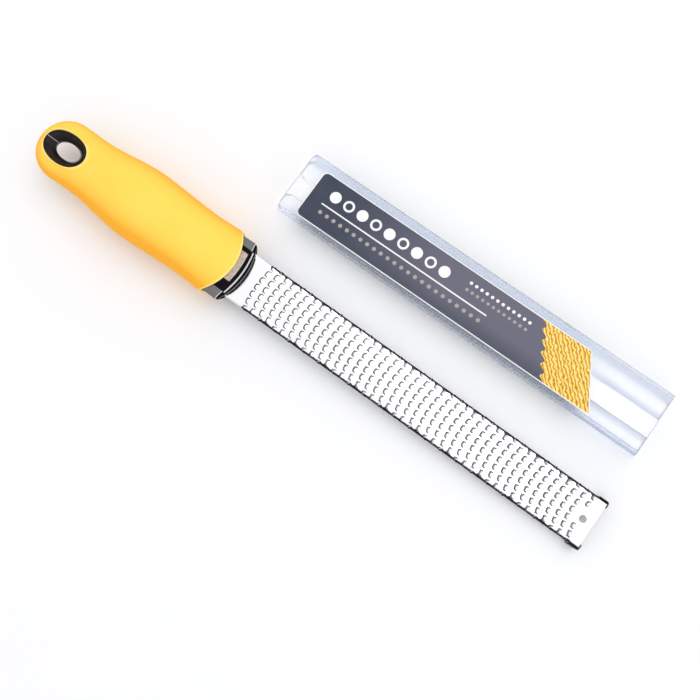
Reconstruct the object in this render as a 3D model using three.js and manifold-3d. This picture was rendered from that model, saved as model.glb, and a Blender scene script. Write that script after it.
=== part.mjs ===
// A long rasp zester lying on a table beside the clear cover that slides over its blade, in millimetres.
// The tool frame has +X from the handle to the blade's tip and +Z up. Its origin lies on the handle's
// axis, level with the front corners of the collar, and the blade's top face is the plane z = 0.
import * as THREE from "three";
import { mergeVertices } from "three/addons/utils/BufferGeometryUtils.js";
import Module from "manifold-3d";

const wasm = await Module();
wasm.setup();

// Clearance between pieces that are moulded, pressed or slid together
const fitGap = 0.3;

// Blade: sheet steel folded down along both sides, with a flat tang behind
const bladeLength = 203.2;
const bladeWidth = 25.4;
const bladeDepth = 6;
const sheet = 0.5;
const bendRadius = 1.2;
const bladeSeat = 2.5;
const tangWidth = 15.6;
const tangLength = 46;
const tangHole = 4.4;
const tangHoleSpacing = 22;
const tipHole = 3.7;
const tipHoleFromEnd = 5.4;

// Teeth: rows on arcs that bow towards the handle, each row shifted across by a share of the pitch
const rowPitch = 4.37;
const firstRow = 12.55;
const lastRowFromEnd = 7;
const rowRadius = 48;
const toothPitch = 4;
const toothWidth = 2.95;
const toothDepth = 1.9;
const toothSlit = 0.55;
const toothNotch = 0.2;
const toothRise = 0.7;
const rowShifts = [0, 0.25, -0.25, 0.5];

// Handle: full widths and heights of the grip at stations measured back from the collar's front corners
const handleLength = 120;
const mouthWidth = 35.6;
const mouthHeight = 22.4;
const neckWidth = 34.5;
const neckHeight = 23.8;
const neckFromFront = 23.5;
const bellyWidth = 37.2;
const bellyHeight = 27;
const bellyFromFront = 57;
const waistWidth = 30.8;
const waistHeight = 18.5;
const waistFromFront = 92;
const buttWidth = 31.2;
const buttHeight = 14.5;
const gripWall = 1.2;
const squareness = 2.2;

// Collar: the bare front of the core, bowed forwards in the middle
const collarCheek = 3.9;
const collarHeight = 18.6;
const collarBow = 4.2;
const collarShowSide = 8.8;
const collarShowMiddle = 4.2;

// Hanging hole: an oval that narrows to a waist a little below its upper mouth
const eyeletLength = 23.9;
const eyeletWidth = 14.6;
const eyeletWaist = 8.5;
const eyeletWaistDepth = 4.7;
const eyeletRim = 0.8;
const eyeletFromButt = 17.4;

// Black tips over the corners of the blade's end
const tipLength = 4;
const tipWall = 0.7;
const tipJaw = 1.8;
const tipDrop = 0.5;
const tipCorner = 1.5;

// Cover: a clear channel with a flat top and with lips turned in underneath
const coverWall = 1.2;
const coverSidePlay = 2.1;
const coverHeightPlay = 0.65;
const coverShoulder = 1.6;
const coverFoot = 3;
const coverSlot = 11.6;
const coverOverrun = 1.9;
const coverEndDepth = 2;
const coverEndCorner = 5;
const coverLipCorner = 5;
const coverSetBack = 4.7;
const coverClearOfGrip = 19.45;

// Label: a sticker on the cover's flat top, nearer to one edge, with one end cut on the slant
const labelThickness = 0.2;
const labelWidth = 26;
const labelShift = 2;
const labelFromEnd = 9.65;
const labelLength = 168.4;
const labelSlant = 15.2;
const labelCorner = 3;

// Sides of curved faces, and steps along the handle
const ringSides = 24;
const handleSteps = 10;
const buttSteps = 4;
const toothSides = 3;
const bendSides = 2;
const roundSides = 10;
const frontSides = 10;
const cornerSides = 4;

const bladeHalf = bladeWidth / 2;
const collarHalf = bladeHalf + collarCheek;
const flatHalf = bladeHalf - bendRadius;
const eyeletX = eyeletFromButt - handleLength;
const coverWidth = bladeWidth + 2 * (fitGap + tipWall + coverSidePlay + coverWall);
const coverHeight = toothRise + bladeDepth + fitGap + tipWall + 2 * (coverHeightPlay + coverWall);
const coverLength = bladeLength + coverOverrun;

// A closed geometry as a solid that can be joined and cut
function solid(geometry) {
  const bare = new THREE.BufferGeometry();
  bare.setAttribute("position", geometry.getAttribute("position").clone());
  bare.setIndex(geometry.getIndex());
  const merged = mergeVertices(bare, 1e-4);
  return new wasm.Manifold(
    new wasm.Mesh({
      numProp: 3,
      vertProperties: new Float32Array(merged.getAttribute("position").array),
      triVerts: new Uint32Array(merged.getIndex().array),
    }),
  );
}

// A solid as a geometry that a mesh can show
function geometryOf(body) {
  const mesh = body.getMesh();
  const geometry = new THREE.BufferGeometry();
  geometry.setAttribute("position", new THREE.BufferAttribute(mesh.vertProperties.slice(), 3));
  geometry.setIndex(new THREE.BufferAttribute(mesh.triVerts.slice(), 1));
  geometry.computeVertexNormals();
  return geometry;
}

// A box between two corners
function block(low, high) {
  const [length, width, height] = high.map((end, i) => end - low[i]);
  const [x, y, z] = high.map((end, i) => (end + low[i]) / 2);
  return solid(new THREE.BoxGeometry(length, width, height).translate(x, y, z));
}

// An outline carried along Z, with each of its arcs in so many sides: an arc has two sides to a segment
function extrude(shape, depth, arcSides) {
  const options = { depth, bevelEnabled: false, curveSegments: arcSides / 2 };
  return new THREE.ExtrudeGeometry(shape, options);
}

// A plan outline raised from one height to another
function prism(shape, bottom, top, arcSides) {
  return solid(extrude(shape, top - bottom, arcSides).translate(0, 0, bottom));
}

// A surface collected as loose triangles, with quads split along their first corner
class Skin {
  points = [];

  triangle(a, b, c) {
    this.points.push(...a, ...b, ...c);
  }

  quad(a, b, c, d) {
    this.triangle(a, b, c);
    this.triangle(a, c, d);
  }

  solid() {
    const geometry = new THREE.BufferGeometry();
    geometry.setAttribute("position", new THREE.Float32BufferAttribute(this.points, 3));
    return solid(mergeVertices(geometry, 1e-4));
  }
}

// Triangles that fill a plane outline with holes, each one counterclockwise
function fillOutline(outline, holes = []) {
  const points = [...outline, ...holes.flat()];
  return THREE.ShapeUtils.triangulateShape(outline, holes).map((face) => {
    const [a, b, c] = face.map((index) => points[index]);
    const turn = (b.x - a.x) * (c.y - a.y) - (b.y - a.y) * (c.x - a.x);
    return turn > 0 ? [a, b, c] : [a, c, b];
  });
}

// Half an ellipse that bulges towards the handle, from its +Y end round to its -Y end
function toothArc(x, y, halfWidth, depth) {
  return Array.from({ length: toothSides + 1 }, (_, i) => {
    const angle = Math.PI * (0.5 + i / toothSides);
    return new THREE.Vector2(x + depth * Math.cos(angle), y + halfWidth * Math.sin(angle));
  });
}

// The centres of the teeth, row by row, sorted into those on the flat and those on the folds
function toothPlaces() {
  const rows = Math.floor((bladeLength - firstRow - lastRowFromEnd) / rowPitch) + 1;
  const across = Math.ceil(bladeHalf / toothPitch);
  const places = { flat: [], fold: [] };
  for (let row = 0; row < rows; row += 1) {
    const shift = rowShifts[row % rowShifts.length];
    for (let column = -across; column <= across; column += 1) {
      const y = (column + shift) * toothPitch;
      const x = firstRow + row * rowPitch + rowRadius - Math.sqrt(rowRadius ** 2 - y ** 2);
      const hole = Math.hypot(x - bladeLength + tipHoleFromEnd, y);
      if (hole < tipHole / 2 + toothWidth) continue;
      const reach = Math.abs(y) + toothWidth / 2;
      if (reach < flatHalf) places.flat.push({ x, y });
      else if (Math.abs(y) <= bladeHalf + toothSlit) places.fold.push({ x, y });
    }
  }
  return places;
}

// The folded sheet's section in the YZ plane, clockwise seen from the tip
function bladeSection() {
  const section = new THREE.Path();
  const inner = bendRadius - sheet;
  section.moveTo(flatHalf, 0);
  section.absarc(flatHalf, -bendRadius, bendRadius, Math.PI / 2, 0, true);
  section.lineTo(bladeHalf, -bladeDepth);
  section.lineTo(bladeHalf - sheet, -bladeDepth);
  section.absarc(flatHalf, -bendRadius, inner, 0, Math.PI / 2, false);
  const right = section.getPoints(bendSides / 2);
  const left = right.map((point) => new THREE.Vector2(-point.x, point.y)).reverse();
  return { right, left };
}

// The folded sheet with its raised teeth and the hole near its tip
function toothedSheet(places) {
  const skin = new Skin();
  const rear = -bladeSeat;
  const front = bladeLength;
  const at = (point, height) => [point.x, point.y, height];
  const teeth = places.map(({ x, y }) => {
    const half = toothWidth / 2;
    const tongueHalf = half - toothSlit;
    const root = x + toothNotch;
    const tongue = toothArc(root, y, tongueHalf, toothDepth - toothSlit + toothNotch);
    return { root, tongue, gap: [...toothArc(x, y, half, toothDepth), tongue.at(-1), tongue[0]] };
  });
  const round = new THREE.Path().absarc(front - tipHoleFromEnd, 0, tipHole / 2, 0, 2 * Math.PI);
  const tipRing = round.getPoints(roundSides / 2).slice(0, -1);

  const corners = [[rear, -flatHalf], [front, -flatHalf], [front, flatHalf], [rear, flatHalf]];
  const outline = corners.map(([x, y]) => new THREE.Vector2(x, y));
  for (const [a, b, c] of fillOutline(outline, [...teeth.map((tooth) => tooth.gap), tipRing])) {
    skin.triangle(at(a, 0), at(b, 0), at(c, 0));
    skin.triangle(at(a, -sheet), at(c, -sheet), at(b, -sheet));
  }

  const wall = (p, q) => skin.quad(at(p, 0), at(q, 0), at(q, -sheet), at(p, -sheet));
  tipRing.forEach((p, i) => wall(p, tipRing[(i + 1) % tipRing.length]));
  for (const { root, tongue, gap } of teeth) {
    // The edge where the tongue leaves the sheet is the one before the last, and stays open
    gap.forEach((p, i) => {
      if (i !== gap.length - 2) wall(p, gap[(i + 1) % gap.length]);
    });
    const tongueLength = root - Math.min(...tongue.map((p) => p.x));
    const raised = (p, height) => at(p, height + (toothRise * (root - p.x)) / tongueLength);
    for (let i = 1; i < tongue.length; i += 1) {
      const [p, q] = [tongue[i - 1], tongue[i]];
      skin.quad(raised(p, 0), raised(p, -sheet), raised(q, -sheet), raised(q, 0));
      if (i === 1) continue;
      skin.triangle(raised(tongue[0], 0), raised(p, 0), raised(q, 0));
      skin.triangle(raised(tongue[0], -sheet), raised(q, -sheet), raised(p, -sheet));
    }
  }

  const { right, left } = bladeSection();
  const place = (x, point) => [x, point.x, point.y];
  for (const side of [right, left]) {
    for (let i = 1; i < side.length; i += 1) {
      const [p, q] = [side[i - 1], side[i]];
      skin.quad(place(rear, p), place(front, p), place(front, q), place(rear, q));
    }
  }
  for (const [a, b, c] of fillOutline([...right, ...left])) {
    skin.triangle(place(front, a), place(front, b), place(front, c));
    skin.triangle(place(rear, a), place(rear, c), place(rear, b));
  }
  return skin.solid();
}

// The places along the tang of the two holes that lock it into the core
function tangHoles() {
  const middle = -bladeSeat - tangLength / 2;
  return [-1, 1].map((side) => middle + (side * tangHoleSpacing) / 2);
}

// An upright round bar through the tang
function tangBar(x, radius) {
  const bar = new THREE.CylinderGeometry(radius, radius, 4 * (sheet + fitGap), roundSides);
  return solid(bar.rotateX(Math.PI / 2).translate(x, 0, -sheet / 2));
}

// The wide sheet starts on a bow, its seat behind the collar's front, and the tang goes on from there
function makeBlade() {
  const places = toothPlaces();
  let body = toothedSheet(places.flat).intersect(aheadOf(-bladeSeat, collarHalf, collarBow));
  let tang = block([-bladeSeat - tangLength, -tangWidth / 2, -sheet], [collarBow, tangWidth / 2, 0]);
  for (const x of tangHoles()) tang = tang.subtract(tangBar(x, tangHole / 2));
  body = body.add(tang);
  const above = toothRise;
  const below = -2 * bendRadius;
  for (const { x, y } of places.fold) {
    const slot = new THREE.Shape(toothArc(x, y, toothWidth / 2, toothDepth));
    body = body.subtract(prism(slot, below, above, toothSides));
  }
  return body;
}

// The handle's outer form, drawn in by an inset: oval rings carried along stations of width and height
function handleForm(inset) {
  const rimWidth = bladeWidth + 2 * (collarCheek + gripWall + fitGap);
  const rimHeight = collarHeight + 2 * (gripWall + fitGap);
  const buttRadius = buttWidth / 2;
  const stations = [
    [collarBow + 1, rimWidth, rimHeight],
    [-collarShowSide, mouthWidth, mouthHeight],
    [-neckFromFront, neckWidth, neckHeight],
    [-bellyFromFront, bellyWidth, bellyHeight],
    [-waistFromFront, waistWidth, waistHeight],
    [buttRadius - handleLength, buttWidth, buttHeight],
  ];
  const spine = new THREE.CatmullRomCurve3(
    stations.map(([x, width, height]) => new THREE.Vector3(x, width / 2 - inset, height / 2 - inset)),
  );
  const sections = spine.getPoints(handleSteps);
  const last = sections.at(-1);
  for (let i = 1; i < buttSteps; i += 1) {
    const angle = ((Math.PI / 2) * i) / buttSteps;
    const x = last.x - (buttRadius - inset) * Math.sin(angle);
    sections.push(new THREE.Vector3(x, last.y * Math.cos(angle), last.z * Math.cos(angle)));
  }
  const bulge = (value) => Math.sign(value) * Math.abs(value) ** (2 / squareness);
  const rings = sections.map((section) =>
    Array.from({ length: ringSides }, (_, i) => {
      const angle = (2 * Math.PI * i) / ringSides;
      return [section.x, section.y * bulge(Math.cos(angle)), section.z * bulge(Math.sin(angle))];
    }),
  );
  const skin = new Skin();
  const front = [sections[0].x, 0, 0];
  const butt = [inset - handleLength, 0, 0];
  for (let i = 0; i < ringSides; i += 1) {
    const next = (i + 1) % ringSides;
    skin.triangle(front, rings[0][i], rings[0][next]);
    skin.triangle(butt, rings.at(-1)[next], rings.at(-1)[i]);
    for (let step = 1; step < rings.length; step += 1) {
      const [near, far] = [rings[step - 1], rings[step]];
      skin.quad(near[i], far[i], far[next], near[next]);
    }
  }
  return skin.solid();
}

// Everything ahead of a front edge that bows forwards between two corners
function aheadOf(corner, half, bow) {
  const radius = (half ** 2 + bow ** 2) / (2 * bow);
  const spread = Math.asin(half / radius);
  const reach = handleLength + bladeLength;
  const shape = new THREE.Shape();
  shape.moveTo(corner, -reach);
  shape.lineTo(corner, -half);
  shape.absarc(corner + bow - radius, 0, radius, -spread, spread, false);
  shape.lineTo(corner, reach);
  shape.lineTo(reach, reach);
  shape.lineTo(reach, -reach);
  return prism(shape, -reach, reach, frontSides);
}

// An upright oval column at the hanging hole
function eyeletColumn(margin) {
  const shape = new THREE.Shape();
  shape.absellipse(eyeletX, 0, eyeletLength / 2 + margin, eyeletWidth / 2 + margin, 0, 2 * Math.PI);
  return prism(shape, -buttHeight, buttHeight, ringSides);
}

// The hourglass passage of the hanging hole: a revolved profile stretched into an oval
function eyeletPassage() {
  const half = buttHeight / 2;
  const waist = 1 - eyeletWaistDepth / half;
  const top = 1.5;
  const levels = [-top, -1, -0.5, 0.1, waist, (1 + waist) / 2, 1, top];
  const flare = (eyeletWidth - eyeletWaist) / 2;
  const profile = levels.map((level) => {
    const share = level > waist ? (level - waist) / (1 - waist) : (waist - level) / (1 + waist);
    return new THREE.Vector2(eyeletWaist / 2 + flare * Math.min(share, 1) ** 2, level * half);
  });
  profile.unshift(new THREE.Vector2(0, -top * half));
  profile.push(new THREE.Vector2(0, top * half));
  const lathe = new THREE.LatheGeometry(profile, ringSides).rotateX(Math.PI / 2);
  return solid(lathe.scale(eyeletLength / eyeletWidth, 1, 1).translate(eyeletX, 0, 0));
}

// The room that the blade and its tang need inside the core, with the pins that lock the tang left standing
function bladeRoom() {
  const front = bladeLength;
  const rear = -bladeSeat - fitGap;
  const half = bladeHalf + fitGap;
  const under = -sheet - fitGap;
  let room = block([rear, -half, under], [front, half, fitGap]);
  for (const side of [-1, 1]) {
    const [near, far] = [bladeHalf - sheet - fitGap, half].map((y) => side * y);
    const [low, high] = [Math.min(near, far), Math.max(near, far)];
    room = room.add(block([rear, low, -bladeDepth - fitGap], [front, high, fitGap]));
  }
  let tangRoom = block(
    [rear - tangLength, -tangWidth / 2 - fitGap, under],
    [collarBow, tangWidth / 2 + fitGap, fitGap],
  );
  for (const x of tangHoles()) tangRoom = tangRoom.subtract(tangBar(x, tangHole / 2 - fitGap));
  return room.intersect(aheadOf(rear, collarHalf, collarBow)).add(tangRoom);
}

function makeCore() {
  return handleForm(gripWall + fitGap)
    .add(eyeletColumn(eyeletRim).intersect(handleForm(0)))
    .subtract(eyeletPassage())
    .subtract(bladeRoom())
    .subtract(aheadOf(0, collarHalf, collarBow));
}

function makeGrip() {
  const gripBow = collarBow - collarShowMiddle + collarShowSide;
  return handleForm(0)
    .subtract(handleForm(gripWall))
    .subtract(eyeletColumn(eyeletRim + fitGap))
    .subtract(aheadOf(-collarShowSide, mouthWidth / 2, gripBow));
}

// A tip over the blade's corner on its +Y side, slotted for the fold and cut away under the sheet
function makeEndTip() {
  const rear = bladeLength - tipLength;
  const front = bladeLength + fitGap + tipWall;
  const outside = bladeHalf + fitGap + tipWall;
  const inside = bladeHalf - sheet - fitGap - tipJaw;
  const bottom = -bladeDepth - fitGap - tipWall;
  const plan = new THREE.Shape();
  plan.moveTo(rear, inside);
  plan.lineTo(front, inside);
  plan.lineTo(front, outside - tipCorner);
  plan.absarc(front - tipCorner, outside - tipCorner, tipCorner, 0, Math.PI / 2, false);
  plan.lineTo(rear, outside);
  const slotRear = rear - tipLength;
  const slotFront = bladeLength + fitGap;
  const slotInside = bladeHalf - sheet - fitGap;
  const slotOutside = bladeHalf + fitGap;
  const above = toothRise + tipWall;
  return prism(plan, bottom, -tipDrop, cornerSides)
    .subtract(block([slotRear, slotInside, -bladeDepth - fitGap], [slotFront, slotOutside, above]))
    .subtract(block([slotRear, inside - tipJaw, -bendRadius - fitGap], [slotFront, slotOutside, above]));
}

// The same tip on the other side of the blade
function mirrored(body) {
  const geometry = geometryOf(body).scale(1, -1, 1);
  const order = geometry.getIndex().array;
  for (let i = 0; i < order.length; i += 3) {
    [order[i + 1], order[i + 2]] = [order[i + 2], order[i + 1]];
  }
  return solid(geometry);
}

// The cover's section as wide and high as given, walked round outside and back inside, open underneath
function coverSection() {
  const half = coverWidth / 2;
  const slot = coverSlot / 2;
  const wall = coverWall;
  const top = coverHeight;
  const quarter = Math.PI / 2;
  const shape = new THREE.Shape();
  shape.moveTo(slot, 0);
  shape.lineTo(half - coverFoot, 0);
  shape.absarc(half - coverFoot, coverFoot, coverFoot, -quarter, 0, false);
  shape.absarc(half - coverShoulder, top - coverShoulder, coverShoulder, 0, quarter, false);
  shape.absarc(coverShoulder - half, top - coverShoulder, coverShoulder, quarter, 2 * quarter, false);
  shape.absarc(coverFoot - half, coverFoot, coverFoot, 2 * quarter, 3 * quarter, false);
  shape.lineTo(-slot, 0);
  shape.lineTo(-slot, wall);
  shape.absarc(coverFoot - half, coverFoot, coverFoot - wall, 3 * quarter, 2 * quarter, true);
  shape.absarc(coverShoulder - half, top - coverShoulder, coverShoulder - wall, 2 * quarter, quarter, true);
  shape.absarc(half - coverShoulder, top - coverShoulder, coverShoulder - wall, quarter, 0, true);
  shape.absarc(half - coverFoot, coverFoot, coverFoot - wall, 0, -quarter, true);
  shape.lineTo(slot, wall);
  return shape;
}

// The plan of the cover's rear end: oval outer corners, and lips rounded off beside the slot
function coverEndPlan() {
  const half = coverWidth / 2;
  const flank = half - coverEndCorner;
  const [left, down] = [Math.PI, 1.5 * Math.PI];
  const plan = new THREE.Shape();
  plan.moveTo(2 * coverLength, -2 * half);
  plan.lineTo(2 * coverLength, 2 * half);
  plan.lineTo(coverEndDepth, 2 * half);
  plan.absellipse(coverEndDepth, flank, coverEndDepth, coverEndCorner, left / 2, left, false);
  plan.absellipse(coverEndDepth, -flank, coverEndDepth, coverEndCorner, left, down, false);
  plan.lineTo(coverEndDepth, -2 * half);
  return plan;
}

// What is cut from between the lips at the rear end to round their inner corners
function lipFlare() {
  const corner = coverLipCorner;
  const slot = coverSlot / 2;
  const up = Math.PI / 2;
  const flare = new THREE.Shape();
  flare.moveTo(-corner, -slot - corner);
  flare.lineTo(0, -slot - corner);
  flare.absarc(corner, -slot - corner, corner, 2 * up, up, true);
  flare.lineTo(corner, slot);
  flare.absarc(corner, slot + corner, corner, -up, -2 * up, true);
  flare.lineTo(-corner, slot + corner);
  return prism(flare, -coverWall, coverWall + fitGap, cornerSides);
}

// The cover from its rounded end at x = 0 to its square end
function makeCover() {
  const channel = extrude(coverSection(), coverLength, cornerSides);
  channel.applyMatrix4(
    new THREE.Matrix4().makeBasis(
      new THREE.Vector3(0, 1, 0),
      new THREE.Vector3(0, 0, 1),
      new THREE.Vector3(1, 0, 0),
    ),
  );
  return solid(channel)
    .intersect(prism(coverEndPlan(), -coverHeight, 2 * coverHeight, cornerSides))
    .subtract(lipFlare());
}

function makeLabel() {
  const [low, high] = [-labelWidth / 2 - labelShift, labelWidth / 2 - labelShift];
  const rear = labelFromEnd;
  const corner = labelCorner;
  const shape = new THREE.Shape();
  shape.moveTo(rear + corner, low);
  shape.lineTo(rear + labelLength, low);
  shape.lineTo(rear + labelLength - labelSlant, high);
  shape.lineTo(rear + corner, high);
  shape.absarc(rear + corner, high - corner, corner, Math.PI / 2, Math.PI, false);
  shape.absarc(rear + corner, low + corner, corner, Math.PI, 1.5 * Math.PI, false);
  return prism(shape, coverHeight, coverHeight + labelThickness, cornerSides);
}

// A named mesh with its finish
function piece(name, body, finish) {
  const mesh = new THREE.Mesh(geometryOf(body), new THREE.MeshStandardMaterial(finish));
  mesh.name = name;
  return mesh;
}

const tip = makeEndTip();
const smoke = { color: 0x23262b, roughness: 0.12, metalness: 0, transparent: true, opacity: 0.85 };
const black = { color: 0x16171a, roughness: 0.45, metalness: 0 };
const tool = new THREE.Group();
tool.add(
  piece("blade", makeBlade(), { color: 0xc9ccd0, roughness: 0.22, metalness: 1 }),
  piece("handle_core", makeCore(), smoke),
  piece("grip", makeGrip(), { color: 0xffc940, roughness: 0.75, metalness: 0 }),
  piece("end_tip_left", tip, black),
  piece("end_tip_right", mirrored(tip), black),
);

const cover = new THREE.Group();
const clear = { color: 0xf2f5f8, roughness: 0.08, metalness: 0, transparent: true, opacity: 0.3 };
cover.add(
  piece("blade_cover", makeCover(), clear),
  piece("cover_label", makeLabel(), { color: 0x46445a, roughness: 0.4, metalness: 0 }),
);

// The lowest point of a mesh when the tool is turned nose down by an angle
function lowest(mesh, angle) {
  const points = mesh.geometry.getAttribute("position");
  let low = Infinity;
  for (let i = 0; i < points.count; i += 1) {
    low = Math.min(low, points.getZ(i) * Math.cos(angle) - points.getX(i) * Math.sin(angle));
  }
  return low;
}

// The angle at which the grip's belly and the end tips touch the table together, by halving a bracket
function restAngle() {
  const grip = tool.getObjectByName("grip");
  const tipMesh = tool.getObjectByName("end_tip_left");
  let [low, high] = [-Math.PI / 8, Math.PI / 8];
  for (let i = 0; i < 50; i += 1) {
    const middle = (low + high) / 2;
    if (lowest(tipMesh, middle) > lowest(grip, middle)) low = middle;
    else high = middle;
  }
  return low;
}

// Both lie on the table z = 0, with the cover alongside the blade and clear of the grip
tool.rotation.y = restAngle();
tool.position.z = -lowest(tool.getObjectByName("grip"), tool.rotation.y);
cover.position.set(-coverSetBack, bellyWidth / 2 + coverClearOfGrip + coverWidth / 2, 0);

// The origin is the middle of the whole footprint on the table
const part = new THREE.Group();
part.add(tool, cover);
part.updateMatrixWorld(true);
const middle = new THREE.Box3().setFromObject(part, true).getCenter(new THREE.Vector3());
for (const group of [tool, cover]) {
  group.position.x -= middle.x;
  group.position.y -= middle.y;
}

export default part;
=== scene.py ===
"""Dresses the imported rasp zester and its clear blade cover, lying side by side on a white table."""
import math
from functools import reduce

import bpy
import numpy as np
from bpy.props import FloatProperty, FloatVectorProperty, IntProperty, PointerProperty
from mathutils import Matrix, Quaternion, Vector


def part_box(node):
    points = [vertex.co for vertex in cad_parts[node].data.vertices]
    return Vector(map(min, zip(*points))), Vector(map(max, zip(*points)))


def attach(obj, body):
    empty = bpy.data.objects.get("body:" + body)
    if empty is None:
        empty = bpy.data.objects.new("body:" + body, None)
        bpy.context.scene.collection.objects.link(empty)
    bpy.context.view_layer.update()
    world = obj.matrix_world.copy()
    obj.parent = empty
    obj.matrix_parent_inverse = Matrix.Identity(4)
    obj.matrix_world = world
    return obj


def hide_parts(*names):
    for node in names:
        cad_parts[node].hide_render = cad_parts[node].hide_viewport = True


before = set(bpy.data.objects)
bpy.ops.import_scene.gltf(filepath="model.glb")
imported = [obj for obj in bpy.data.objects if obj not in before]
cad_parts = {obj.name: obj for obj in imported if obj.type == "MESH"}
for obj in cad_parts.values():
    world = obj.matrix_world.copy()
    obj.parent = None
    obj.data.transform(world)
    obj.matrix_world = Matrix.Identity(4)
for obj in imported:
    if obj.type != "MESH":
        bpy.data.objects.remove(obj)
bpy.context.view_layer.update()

bl_info = {
    "name": "Rasp zester with blade cover",
    "version": (1, 0, 0),
    "blender": (4, 5, 0),
    "location": "View3D > Sidebar > Zester",
    "description": "Builds the visible pieces of a rasp zester and its blade cover round their CAD model",
    "category": "Add Mesh",
}

MM = 0.001

# The two bodies
ZESTER = "zester"
COVER = "cover"

# How far the grip and the cover are drawn in from the solids
GRIP_INSET = 0.1 * MM
SHEET_AIR = 0.03 * MM

# Edges that turn by more than this are drawn sharp
SHARP = math.radians(35.0)

# Points round the handle's sections, and places in a tooth's list of points
ROUND_STEPS = 96
SLIT_POINTS = 12
ROOT_POINTS = (8, 9, 10)

# Where most values of a noise lie
NOISE_SPREAD = (0.3, 0.7)


def size(name, description, millimetres):
    """A length in metres, given in millimetres."""
    return FloatProperty(
        name=name, description=description, default=millimetres * MM, precision=4, unit="LENGTH"
    )


def place(name, description, x, y, z):
    """A point in metres, given in millimetres."""
    return FloatVectorProperty(
        name=name, description=description, default=(x * MM, y * MM, z * MM), unit="LENGTH"
    )


def factor(name, description, default):
    """A plain number."""
    return FloatProperty(name=name, description=description, default=default, precision=3)


def tilt(name, description, degrees):
    """An angle, given in degrees."""
    return FloatProperty(
        name=name, description=description, default=math.radians(degrees), subtype="ANGLE"
    )


def colour(name, description, red, green, blue):
    """A linear colour."""
    return FloatVectorProperty(
        name=name,
        description=description,
        default=(red, green, blue),
        min=0.0,
        max=1.0,
        subtype="COLOR",
    )


class ZesterBlade(bpy.types.PropertyGroup):
    """Sizes of the folded steel sheet and its teeth, and how the zester lies."""

    rest_angle: tilt(
        "Rest angle", "Nose-down tilt at which the grip and the end tips touch the table", 1.42552
    )
    length: size("Length", "From the collar's front corners to the blade's end", 203.2)
    width: size("Width", "Over the folded sides", 25.4)
    depth: size("Depth", "Of the folded sides", 6.0)
    sheet: size("Sheet", "Thickness of the steel", 0.5)
    bend: size("Bend radius", "Outside radius of the folds", 1.2)
    seat: size("Seat", "How far the wide sheet goes into the collar", 2.5)
    tang_width: size("Tang width", "Across the tang inside the handle", 15.6)
    tang_length: size("Tang length", "Of the tang behind the collar's corners", 48.5)
    first_row: size("First row", "From the collar's front corners to the first row of teeth", 12.55)
    row_pitch: size("Row pitch", "From row to row", 4.37)
    row_count: IntProperty(name="Rows", description="Rows of teeth along the blade", default=43)
    row_radius: size("Row radius", "Of the arcs on which the rows lie", 48.0)
    tooth_pitch: size("Tooth pitch", "From tooth to tooth along a row", 4.0)
    tooth_width: size("Tooth width", "Over the slit of a tooth", 3.2)
    tooth_depth: size("Tooth depth", "Of the slit's bulge towards the handle", 1.5)
    tooth_slit: size("Slit", "Width of the slit round a tooth", 0.56)
    tooth_notch: size("Notch", "How far the slit's ends run on past its widest place", 0.2)
    tooth_rise: size("Rise", "Height of a tooth's edge over the sheet", 0.36)
    tooth_squareness: factor("Tooth squareness", "Power of the slit's oval, 2 being an ellipse", 2.7)
    hole: size("Tip hole", "Diameter of the hole near the blade's end", 3.7)
    hole_from_end: size("Tip hole from end", "From the blade's end to the hole's centre", 5.4)
    tip_round: size("Tip rounding", "Width of the end tips' rounded edges", 0.25)
    tip_wall: factor("Tip wall", "Share of the end tips' walls left beyond the blade's sides", 0.6)


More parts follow.
